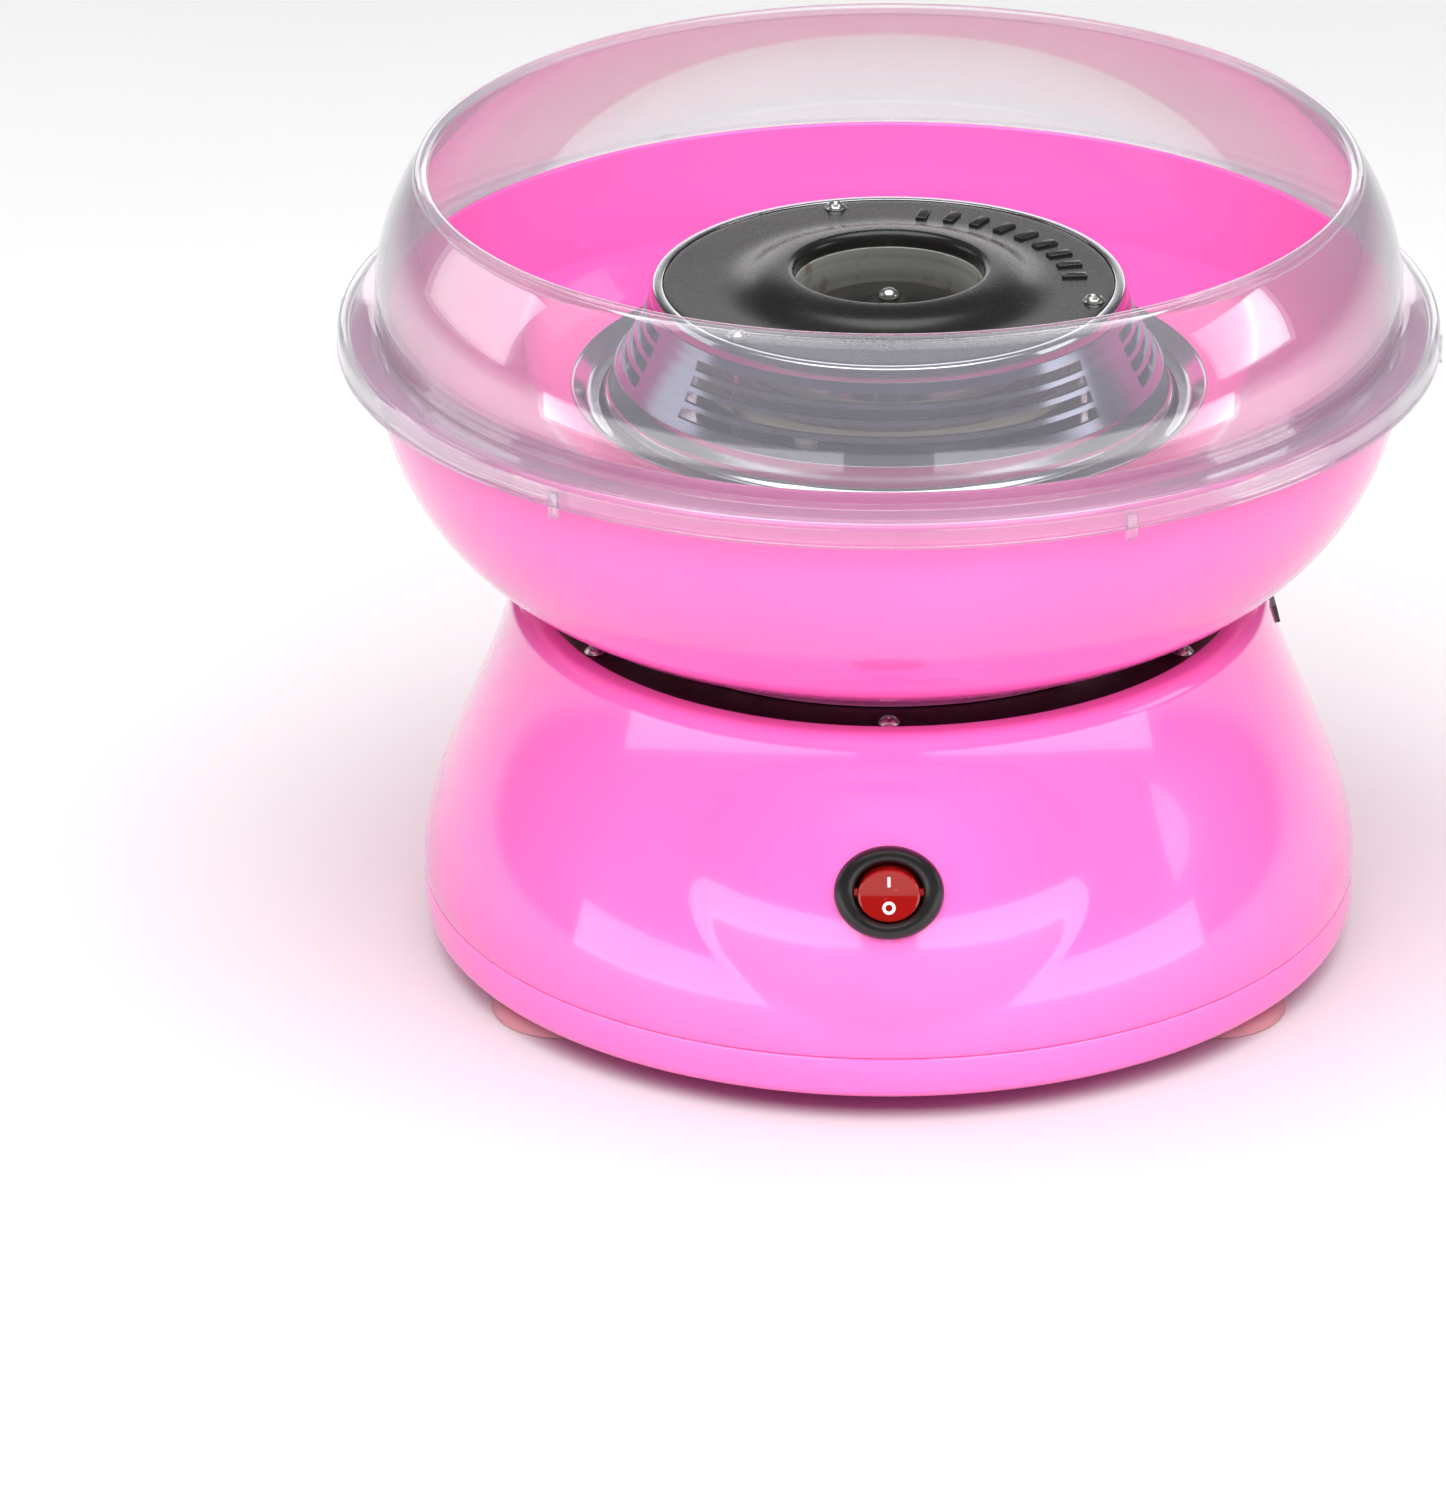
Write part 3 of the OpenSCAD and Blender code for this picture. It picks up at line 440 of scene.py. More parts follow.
PINK = (0.9, 0.145, 0.5)
pink = moulded("pink_plastic", PINK, (0.1, 0.2), 0.03, edge=(0.95, 0.42, 0.7),
               IOR=1.52, Coat_Weight=0.6, Coat_Roughness=0.03)
black = moulded("black_plastic", (0.007, 0.006, 0.006), (0.26, 0.42), 0.2, edge=(0.03, 0.028, 0.026))
bakelite = moulded("cap_bakelite", (0.0085, 0.0078, 0.0074), (0.2, 0.32), 0.2, grain=900,
                   depth=0.00001, edge=(0.02, 0.019, 0.018))
foot_rubber = moulded("foot_rubber", (0.5, 0.2, 0.24), (0.4, 0.62), 0.12, edge=(0.55, 0.3, 0.33))
black_rubber = moulded("black_rubber", (0.02, 0.02, 0.02), (0.55, 0.75), 0.2)
red_lens = moulded("red_lens", (0.26, 0.003, 0.002), (0.1, 0.18), 0.12, depth=0.00001,
                   edge=(0.6, 0.05, 0.04), Coat_Weight=0.15, Coat_Roughness=0.05)
mark_white = moulded("mark_white", (0.82, 0.8, 0.78), (0.35, 0.5), 0.05)
aluminium = metal("aluminium", (0.62, 0.63, 0.65), (0.09, 0.15), 260, grain=0.02)
band_metal = metal("band_aluminium", (0.4, 0.42, 0.52), (0.14, 0.2), 300, grain=0.02)
cup_metal = metal("cup_aluminium", (0.85, 0.88, 0.83), (0.55, 0.7), stain=(0.36, 0.2, 0.09), grain=0.1)
zinc = metal("zinc_steel", (0.66, 0.66, 0.64), (0.2, 0.34), stain=(0.42, 0.38, 0.33), turned=False)
motor_steel = metal("motor_steel", (0.42, 0.42, 0.43), (0.35, 0.55), stain=(0.25, 0.2, 0.16), turned=False)
copper = metal("copper", (0.72, 0.34, 0.17), (0.3, 0.45), 2200)
brass = metal("brass", (0.72, 0.53, 0.24), (0.22, 0.38), 1400)
nichrome = metal("nichrome", (0.3, 0.22, 0.17), (0.4, 0.6), 2600)
spreader_metal = metal("spreader_metal", (0.09, 0.085, 0.078), (0.3, 0.5), 700, stain=(0.12, 0.09, 0.06))
dark_plate = metal("dark_plate", (0.16, 0.1, 0.095), (0.3, 0.5), 260, stain=(0.08, 0.035, 0.03))
carbon = moulded("carbon", (0.03, 0.03, 0.032), (0.5, 0.7), 0.25)
red_wire = moulded("red_wire", (0.5, 0.02, 0.02), (0.4, 0.55), 0.08)
blue_wire = moulded("blue_wire", (0.02, 0.06, 0.4), (0.4, 0.55), 0.08)
white_wire = moulded("white_wire", (0.7, 0.69, 0.65), (0.6, 0.8), 0.08, grain=2600, depth=0.0001)
fan_plastic = moulded("fan_plastic", (0.66, 0.66, 0.62), (0.4, 0.55), 0.05)
phenolic = moulded("phenolic", (0.16, 0.06, 0.03), (0.4, 0.55), 0.15)
ceramic = moulded("ceramic", (0.78, 0.75, 0.68), (0.3, 0.45), 0.05)
mica = moulded("mica", (0.5, 0.42, 0.3), (0.35, 0.6), 0.15)


# Part of the light that the clear plastic scatters, seen square on, and what its edges add.
CLEAR_SHARE, EDGE_SHARE = 0.13, 0.7


def clear_plastic():
    """Clear styrene with a faint milky tone that thickens where the wall is seen edge-on."""
    g = Graph("clear_plastic")
    haze = g.spread(g.noise(30, 4), 0.94, 1.04)
    tone = g.mix(g.spread(g.noise(14, 2), 0, 1), (0.46, 0.45, 0.52), (0.54, 0.53, 0.59))
    body = g.principled(Base_Color=tone, Roughness=g.spread(g.noise(90, 4), 0.16, 0.26), IOR=1.46,
                        Normal=g.bump(g.noise(60, 2), 0.05, 0.00002))
    see = g.add("ShaderNodeBsdfTransparent")
    see.inputs["Color"].default_value = (0.985, 0.98, 0.985, 1)
    rim = g.add("ShaderNodeLayerWeight")
    rim.inputs["Blend"].default_value = 0.28
    edge_on = g.math("POWER", rim.outputs["Facing"], 1.7)
    share = g.math("ADD", CLEAR_SHARE, g.math("MULTIPLY", edge_on, EDGE_SHARE))
    share = g.math("MINIMUM", g.math("MULTIPLY", share, haze), 0.94)
    inner = g.add("ShaderNodeMixShader")
    g.link(share, inner.inputs[0])
    g.link(see.outputs[0], inner.inputs[1])
    g.link(body.outputs[0], inner.inputs[2])
    gloss = g.add("ShaderNodeBsdfGlossy")
    gloss.inputs["Color"].default_value = (1, 1, 1, 1)
    gloss.inputs["Roughness"].default_value = 0.03
    fresnel = g.add("ShaderNodeFresnel")
    fresnel.inputs["IOR"].default_value = 1.42
    shine = g.math("MINIMUM", fresnel.outputs[0], 0.6)
    both = g.add("ShaderNodeMixShader")
    g.link(shine, both.inputs[0])
    g.link(inner.outputs[0], both.inputs[1])
    g.link(gloss.outputs[0], both.inputs[2])
    return g.finish(both)


clear = clear_plastic()

BY_SLOT = {
    "pink_plastic": pink, "clear_plastic": clear, "foot_rubber": foot_rubber, "zinc_steel": zinc,
    "dark_plate": dark_plate, "aluminium": aluminium, "motor_steel": motor_steel, "copper": copper,
    "brass": brass, "black_rubber": black_rubber, "black_plastic": black, "carbon": carbon,
    "red_wire": red_wire, "blue_wire": blue_wire, "white_wire": white_wire, "red_lens": red_lens,
    "fan_plastic": fan_plastic, "phenolic": phenolic, "ceramic": ceramic, "mica": mica,
    "nichrome": nichrome, "cap_bakelite": bakelite, "spreader_metal": spreader_metal,
}
slot_of = {s["node"]: s["material_slot"] for s in frame["record"]["subparts"]}
for name, node in nodes.items():
    node.data.materials.clear()
    node.data.materials.append(BY_SLOT[slot_of[name]])


# ---------------------------------------------------------------- base casing
def top_mm(node):
    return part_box(node)[1].z / MM


BASE_R = 121.4
BASE_NECK_R = 98.0
PARTING_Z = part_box("base_shell")[0].z / MM
BASE_TOP_Z = top_mm("base_shell")
PLATE_Z = top_mm("top_plate") - 2.5
PLATE_T = 2.0
WALL = 2.4
OPENING_R = 89.5
LEDGE_R = 81.0
FLARE_Z = (20.0, 91.0)
FLARE_LEAN = (6, 25)  # the flare's slope where it meets the lip: outwards, down
PAD_R, PAD_PROUD, PAD_Z, PAD_TILT = 80.0, 6.5, 58.5, 21.5


def flare(inset):
    z0, z1 = FLARE_Z
    return [
        (BASE_R - inset, z0),
        (BASE_R - inset, 2 * z0),
        (BASE_NECK_R + FLARE_LEAN[0] - inset, z1 - FLARE_LEAN[1]),
        (BASE_NECK_R - inset, z1),
    ]


def flare_radius(z):
    points = bezier(flare(0), 2000)
    return min(points, key=lambda p: abs(p[1] - z))[0]


pad_out = (math.cos(math.radians(PAD_TILT)), math.sin(math.radians(PAD_TILT)))
pad_wall = flare_radius(PAD_Z)
SEAT = Vector((0, -(pad_wall + pad_out[0] * PAD_PROUD), PAD_Z + pad_out[1] * PAD_PROUD))
pad_centre = Vector((0, SEAT.y + pad_out[0] * PAD_R, SEAT.z - pad_out[1] * PAD_R))
ON_PAD = Matrix.Translation(SEAT) @ Matrix.Rotation(math.radians(90 - PAD_TILT), 4, "X")


def pad_reach(z, angles, inset):
    """Distance from the axis to the pad's ball along each angle at height z, or 0 where it misses."""
    r = PAD_R - inset
    dz = z - pad_centre.z
    b = pad_centre.y * np.sin(angles)
    c = pad_centre.y**2 + dz * dz - r * r
    d = b * b - c
    return np.where((d > 0) & (np.sin(angles) < -0.2), b + np.sqrt(np.maximum(d, 0)), 0.0)


def soft_max(a, b, k):
    """The larger of two values, rounded over where they differ by less than k."""
    h = np.maximum(k - np.abs(a - b), 0) / k
    return np.maximum(a, b) + h * h * k / 4


def shell_loop():
    outer = [(BASE_R - 0.5, PARTING_Z), (BASE_R - 0.12, PARTING_Z + 0.15), (BASE_R, PARTING_Z + 0.5)]
    outer += bezier(flare(0), 150)
    # The round-over starts along the flare's own slope.
    slope = math.atan2(*FLARE_LEAN)
    r = (BASE_TOP_Z - FLARE_Z[1]) / (1 - math.sin(slope))
    lip_r, lip_z = BASE_NECK_R - r * math.cos(slope), BASE_TOP_Z - r
    outer += arc(lip_r, lip_z, r, math.degrees(slope), 90, 16)
    rim = rounded(
        [(lip_r, BASE_TOP_Z), (OPENING_R + 0.2, BASE_TOP_Z), (OPENING_R, PLATE_Z - PLATE_T),
         (LEDGE_R, PLATE_Z - PLATE_T), (LEDGE_R, PLATE_Z - PLATE_T - WALL),
         (BASE_NECK_R - WALL - 1, PLATE_Z - PLATE_T - WALL)],
        [0.8, 0, 0.4, 0.4],
    )
    inner = bezier(flare(WALL), 150)[::-1] + [(BASE_R - WALL, PARTING_Z)]
    return outer, rim, inner


outer, rim, inner = shell_loop()
shell_points = tidy_loop(outer + rim + inner, True)
inner_start = len(shell_points) - len(inner)


def with_pad(i, r, z, angles):
    """The shell's radii at one height, pushed out where the pad stands proud."""
    if not (PARTING_Z + 3 < z < BASE_TOP_Z - 5):
        return np.full(len(angles), r)
    inside = i >= inner_start
    ball = pad_reach(z, angles, WALL if inside else 0.0)
    # The lower outline is a tight crease, the upper one melts into the wall.
    softness = 0.7 + 1.8 * min(max((z - 40) / 45, 0), 1)
    fade = min(max((BASE_TOP_Z - 6 - z) / 6, 0), 1)
    out = soft_max(np.full(len(angles), r), np.where(ball > 0, ball, r - 20), softness)
    return r + (out - r) * fade


front = np.radians(np.arange(232, 308.01, 0.25))
side = np.radians(np.linspace(308, 592, 190)[1:-1])
shell_data = lathe_data(shell_points, np.concatenate([front, side]), True, with_pad)
shell = piece("base_shell_skin", shell_data, pink, "base", ["base_shell"])

VENT_ANGLE, VENT_Z, VENT_SLOPE = math.radians(4), 84.8, math.radians(13.5)
on_vent = (
    Matrix.Rotation(VENT_ANGLE, 4, "Z")
    @ Matrix.Translation((flare_radius(VENT_Z), 0, VENT_Z))
    @ Matrix.Rotation(-VENT_SLOPE, 4, "Y")
)
GLAND_Z, GLAND_SEAT_Y = 30.0, 118.0
SEAT_DROP = 1.2
SEAT_OVAL = (13.65, 11.65)
ON_GLAND = Matrix.Translation((0, GLAND_SEAT_Y, GLAND_Z)) @ Matrix.Rotation(math.radians(-90), 4, "X")


SWITCH_HOLE_R, GLAND_HOLE_R, GLAND_SEAT_R = 10.1, 6, 8.1
VENT_CUT = (30, 14.0, 5.0)


def rod(r, z0, z1, n=64):
    return lathe_data([(0, z0), (r, z0), (r, z1), (0, z1)], turn(n), False)


# Each cutter has to be one clean solid, so they are taken out one by one.
bezel_seat = [(0, 0, -SEAT_DROP), (*SEAT_OVAL, -SEAT_DROP), (*SEAT_OVAL, 10), (0, 0, 10)]
cut(shell, placed(rod(SWITCH_HOLE_R, -30, 10), ON_PAD))
cut(shell, placed(loft_ovals(bezel_seat), ON_PAD))
cut(shell, placed(rod(GLAND_HOLE_R, -20, 1), ON_GLAND))
cut(shell, placed(rod(GLAND_SEAT_R, 0, 12), ON_GLAND))
cut(shell, placed(bevelled_box(VENT_CUT, 0.3), on_vent))

# Tray under the parting line, its floor with the slots and holes of the CAD tray.
TRAY_TOP, TRAY_Z = top_mm("base_tray"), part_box("base_tray")[0].z / MM
FLOOR = TRAY_Z + WALL
tray_loop = (
    [(r, TRAY_Z) for r in range(0, 118, 6)]
    + arc(BASE_R - 3, TRAY_Z + 3, 3, -88, -2, 12)
    + [(BASE_R, TRAY_TOP - 0.5), (BASE_R - 0.12, TRAY_TOP - 0.15), (BASE_R - 0.5, TRAY_TOP)]
    + [(BASE_R - WALL - 0.5, TRAY_TOP), (BASE_R - WALL - 0.5, FLOOR + 0.6)]
    + [(r, FLOOR) for r in (BASE_R - WALL - 1.1, *range(114, -1, -6))]
)
tray_data = lathe_data(tray_loop, None, False)
tray = piece("base_tray_skin", tray_data, pink, "base", ["base_tray"])
FEET = ("foot_front_left", "foot_front_right", "foot_rear_left", "foot_rear_right")
feet_at = {n: sum(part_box(n), Vector()) / 2 / MM for n in FEET}
POSTS = [math.radians(a) for a in (70, 110, 250, 290)]
POST_RING = 103.0
FOOT_HOLE_R, SCREW_RECESS_R = 4.7, 3.2
TRAY_SLOT, TRAY_SLOT_AT, SLOT_STEP_DEG = (16, 3, 20), (26, 0, 8), 30


def on_ring(ring_r, a, z=0):
    return Matrix.Translation((ring_r * math.cos(a), ring_r * math.sin(a), z))


holes = [placed(rod(FOOT_HOLE_R, 0, 20), Matrix.Translation((p.x, p.y, 0))) for p in feet_at.values()]
holes += [placed(rod(SCREW_RECESS_R, 0, 11), on_ring(POST_RING, a)) for a in POSTS]
for a in range(0, 360, SLOT_STEP_DEG):
    at = Matrix.Rotation(math.radians(a), 4, "Z") @ Matrix.Translation(TRAY_SLOT_AT)
    holes.append(placed(bevelled_box(TRAY_SLOT, 1.2), at))
cut(tray, joined(holes))

# Suction feet
FOOT_R = 18.8
foot_loop = (
    [(0, 2.6)]
    + bezier([(0, 2.6), (8, 2.6), (14, 1.6), (FOOT_R - 1.2, 0)], 16)
    + [(FOOT_R - 0.3, 0), (FOOT_R, 0.3)]
    + bezier([(FOOT_R, 0.3), (FOOT_R - 0.5, 3.6), (13.5, 5.2), (7.2, 5.9)], 22)
    + [(4.5, 5.9), (4.5, FLOOR), (6.2, FLOOR)]
    + arc(2.6, FLOOR, 3.4, 10, 90, 12)
    + [(0, FLOOR + 3.4)]
)
for n, p in feet_at.items():
    foot = placed(lathe_data(foot_loop, turn(128), False), Matrix.Translation((p.x, p.y, 0)))
    piece(n + "_cup", foot, foot_rubber, "base", [n])

# Screws round the top plate
PLATE_SCREW_R = 86.0
PAN_HEAD = (2.8, 1.9, 1.45)  # head radius, head height, shaft radius
plate_screws = [
    placed(
        screw_data(*PAN_HEAD, 10, twist=k),
        on_ring(PLATE_SCREW_R, a, PLATE_Z),
    )
    for k, a in enumerate(math.radians(270 + 60 * i) for i in range(6))
]
piece("plate_screws", joined(plate_screws), zinc, "base", ["top_plate_screws"])

# ---------------------------------------------------------------- switch
BEZEL = (13.6, 11.6)
MOUTH = (8.6, 7.5)


def between(t, z):
    """A ring of the bezel at height z, from the mouth (t = 0) to the outline (t = 1)."""
    return (MOUTH[0] + (BEZEL[0] - MOUTH[0]) * t, MOUTH[1] + (BEZEL[1] - MOUTH[1]) * t, z)


bezel_rings = [
    (0, 0, -18), (9.4, 9.4, -18), (9.9, 9.9, -17.5), (9.9, 9.9, -SEAT_DROP),
    between(1, -SEAT_DROP), between(1.0, 0.3), between(0.985, 0.9), between(0.94, 1.55),
    between(0.86, 2.15), between(0.74, 2.62), between(0.6, 2.9), between(0.46, 3.0),
    between(0.32, 2.93), between(0.2, 2.7), between(0.1, 2.3), between(0.03, 1.8),
    between(0.0, 1.2), between(0.0, -11), (0, 0, -11),
]
bezel = placed(loft_ovals(bezel_rings), ON_PAD)
piece("switch_bezel", bezel, black, "base", ["switch_housing"])

pivot = Vector(joints["rocker_tilt"]["pos_m"]) / MM
ROCKER_TILT = math.radians(joints["rocker_tilt"]["range_deg"][1] / 2)
ON_ROCKER = (
    Matrix.Translation(pivot)
    @ Matrix.Rotation(math.radians(90 - PAD_TILT) + ROCKER_TILT, 4, "X")
)
ROCKER = (7.8, 6.7)
FACET_DEG = 8
DISH = math.tan(math.radians(FACET_DEG))
LENS_H = 3.35


def rocker_top(x, y):
    """Height of the rocker's two facets, which meet in a soft valley."""
    return LENS_H + math.sqrt((abs(y) * DISH) ** 2 + 0.02) - 0.14


def rocker_data(n=96, rows=18):
    verts, index = [], []

    def ring(s, z_of):
        index.append(list(range(len(verts), len(verts) + n)))
        for k in range(n):
            t = 2 * math.pi * k / n
            x, y = s * ROCKER[0] * math.cos(t), s * ROCKER[1] * math.sin(t)
            verts.append((x, y, z_of(x, y)))

    def pole(z):
        index.append([len(verts)] * n)
        verts.append((0.0, 0.0, z))

    pole(-4.5)
    ring(0.96, lambda x, y: -4.5)
    ring(1.0, lambda x, y: -4.2)
    ring(1.0, lambda x, y: rocker_top(x, y) - 0.55)
    ring(0.992, lambda x, y: rocker_top(x, y) - 0.3)
    ring(0.97, lambda x, y: rocker_top(x, y) - 0.1)
    ring(0.94, rocker_top)
    for k in range(1, rows):
        ring(0.94 * (1 - k / rows), rocker_top)
    pole(rocker_top(0, 0))
    return verts, stitched(index, n)


pin = placed(rod(1.2, -9.1, 9.1, 32), Matrix.Rotation(math.radians(90), 4, "Y"))
lens = placed(joined([rocker_data(), pin]), ON_ROCKER)
piece("rocker_lens", lens, red_lens, "rocker", ["switch_rocker"], 24)


def on_facet(side, dist):
    """Lies on the rocker's upper (side 1) or lower (side -1) facet, dist from the middle."""
    return (
        ON_ROCKER
        @ Matrix.Translation((0, side * dist, rocker_top(0, dist)))
        @ Matrix.Rotation(side * math.radians(FACET_DEG), 4, "X")
    )


bar = placed(bevelled_box((0.75, 2.7, 0.24), 0.11), on_facet(1, 3.5))
circle = [(1.25 + 0.38 * math.cos(t), 0.12 * math.sin(t)) for t in turn(16)]
zero = placed(lathe_data(circle, turn(48), True), on_facet(-1, 3.1))
piece("rocker_marks", joined([bar, zero]), mark_white, "rocker", ())

# ---------------------------------------------------------------- bowl
BOWL_R, ROUND_R, ROUND_Z = 131.0, 64.6, 160.9
ROUND_X = BOWL_R - ROUND_R
NECK_R, NECK_Z = 74.0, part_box("neck_ring")[0].z / MM
BOWL_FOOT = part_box("bowl")[0].z / MM
NECK_SEAT_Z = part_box("bowl_neck")[0].z / MM
FLANGE_Z = 168.6
LIP_R, LIP_TOP, LIP_T = 128.4, top_mm("bowl"), 0.9


def along(r, x):
    """Angle below the horizontal, in degrees, where an arc of radius r of the bowl's round reaches x."""
    return -math.degrees(math.acos((x - ROUND_X) / r))


in_r = ROUND_R - WALL
bowl_loop = (
    [(NECK_R, BOWL_FOOT), (NECK_R + 3, BOWL_FOOT)]
    + arc(ROUND_X, ROUND_Z, ROUND_R, along(ROUND_R, NECK_R + 3), 0, 110)
    + rounded(
        [(BOWL_R, ROUND_Z + 0.5), (BOWL_R + 0.4, FLANGE_Z - 3.2), (BOWL_R + 1.2, FLANGE_Z - 2.3),
         (BOWL_R + 6, FLANGE_Z - 2.1), (BOWL_R + 6, FLANGE_Z), (LIP_R, FLANGE_Z), (LIP_R, LIP_TOP - LIP_T)],
        [1, 1, 0.7, 0.7, 0.3],
    )
    + arc(LIP_R - LIP_T, LIP_TOP - LIP_T, LIP_T, 10, 170, 12)
    + arc(ROUND_X, ROUND_Z, in_r, along(in_r, LIP_R - 2 * LIP_T), along(in_r, NECK_R + WALL + 3), 110)
    + rounded(
        [(NECK_R + WALL + 1.5, 99.2), (NECK_R + WALL, 99.4), (NECK_R + WALL, NECK_SEAT_Z),
         (NECK_R, NECK_SEAT_Z), (NECK_R, BOWL_FOOT)],
        [0.15, 0.1, 0.2],
    )
)
wide = turn(360)
piece("bowl_skin", lathe_data(bowl_loop, wide), pink, "bowl", ["bowl"])

tube_loop = rounded(
    [(NECK_R, NECK_Z - 3), (NECK_R, NECK_SEAT_Z), (NECK_R + WALL, NECK_SEAT_Z), (NECK_R + WALL, NECK_Z),
     (NECK_R, NECK_Z), (NECK_R, NECK_Z - 3)],
    [0.1, 0.1, 0.3, 0.3],
)
piece("neck_skin", lathe_data(tube_loop, wide), pink, "bowl", ["bowl_neck"])

ring_loop = rounded(
    [(NECK_R, NECK_Z + 0.5), (NECK_R, NECK_Z), (NECK_R + 3.2, NECK_Z), (NECK_R + 7.4, NECK_Z + 4.8),
     (NECK_R + 7, NECK_Z + 5.5), (NECK_R + 6.4, NECK_Z + 5.2), (NECK_R + 2.8, NECK_Z + 1),
     (NECK_R, NECK_Z + 1), (NECK_R, NECK_Z + 0.5)],
    [0.2, 1.2, 0.3, 0.3, 0.3, 1.2, 0.2],
)
piece("neck_ring_skin", lathe_data(ring_loop), aluminium, "bowl", ["neck_ring"], 50)

# ---------------------------------------------------------------- guard
GUARD_TOP = top_mm("guard")
RIM_R, FOOT_WALL_R, SKIRT_R, GUARD_T, BEAD_R = 118.0, 130.5, 140.0, 1.8, 1.9
GUARD_SEAT = FLANGE_Z + 0.3
SKIRT_Z = 163.3
wall_top, wall_foot = GUARD_TOP - BEAD_R, GUARD_SEAT + GUARD_T + 0.6
mid_z = wall_foot + 3.5
rise = wall_top - mid_z
lean = FOOT_WALL_R - RIM_R - BEAD_R
bulge = (rise * rise + lean * lean) / (2 * lean)
mid_r = FOOT_WALL_R - bulge
top_a = math.degrees(math.asin(rise / bulge))
foot_a = -math.degrees(math.asin((mid_z - wall_foot) / bulge))
skirt_in = SKIRT_R - GUARD_T
outer_wall = arc(mid_r, mid_z, bulge, foot_a, top_a, 60)
guard_loop = (
    rounded(
        [(skirt_in, SKIRT_Z + 2), (skirt_in, SKIRT_Z), (SKIRT_R + 0.3, SKIRT_Z),
         (SKIRT_R + 0.3, SKIRT_Z + 1), (SKIRT_R, SKIRT_Z + 1.5), (SKIRT_R, GUARD_SEAT - 1)],
        [0.4, 0.4, 0.3, 0.3],
    )
    + arc(SKIRT_R - 2.6, GUARD_SEAT - 1, 2.6, 0, 82, 12)
    + rounded(
        [(SKIRT_R - 3, wall_foot - 0.9), (FOOT_WALL_R + 1.2, wall_foot - 0.5), *outer_wall[:2]],
        [0.8, 0.3],
    )
    + outer_wall[2:]
    + arc(RIM_R, wall_top, BEAD_R, 10, 190, 18)
    + arc(mid_r, mid_z, bulge - GUARD_T, top_a, foot_a, 60)[1:]
    + rounded(
        [(FOOT_WALL_R - GUARD_T, wall_foot), (FOOT_WALL_R - GUARD_T, GUARD_SEAT),
         (skirt_in - 1, GUARD_SEAT), (skirt_in, GUARD_SEAT - 1), (skirt_in, SKIRT_Z + 3)],
        [0.4, 0.3, 0.3],
    )
)
TAB_ANGLES = [math.radians(234.6 + 60 * i) for i in range(6)]
tab_h = GUARD_SEAT - SKIRT_Z + 1.2
tabs = [
    placed(
        bevelled_box((1.2, 2.8, tab_h), 0.35),
        Matrix.Rotation(a, 4, "Z") @ Matrix.Translation((SKIRT_R, 0, SKIRT_Z - 2.6 + tab_h / 2)),
    )
    for a in TAB_ANGLES
]
guard_parts = joined([lathe_data(guard_loop, wide), *tabs])
piece("guard_clear", guard_parts, clear, "guard", ["guard"], 40)

# ---------------------------------------------------------------- spinning head
HEAD_TOP, PAN_Z, PAN_T, PAN_R = 177.5, 147.4, 1.2, 72.7
BAND_LOW, BAND_HIGH, BAND_T = (69.8, 155.4), (60.9, 173.9), 1.0
CAP_R, CAP_Z, CAP_T = 57.3, 177.3, 3.4
MOUTH_R = 24.0
SCREW_RING = 53.5
CAP_SCREWS = [math.radians(a) for a in (105, 225, 345)]
SHAFT_TOP, SHAFT_R = 170.0, 4.0


def bell(t, inset=0.0):
    return (
        BAND_LOW[0] + (BAND_HIGH[0] - BAND_LOW[0]) * (1.35 * t - 0.35 * t * t) - inset,
        BAND_LOW[1] + (BAND_HIGH[1] - BAND_LOW[1]) * t,
    )


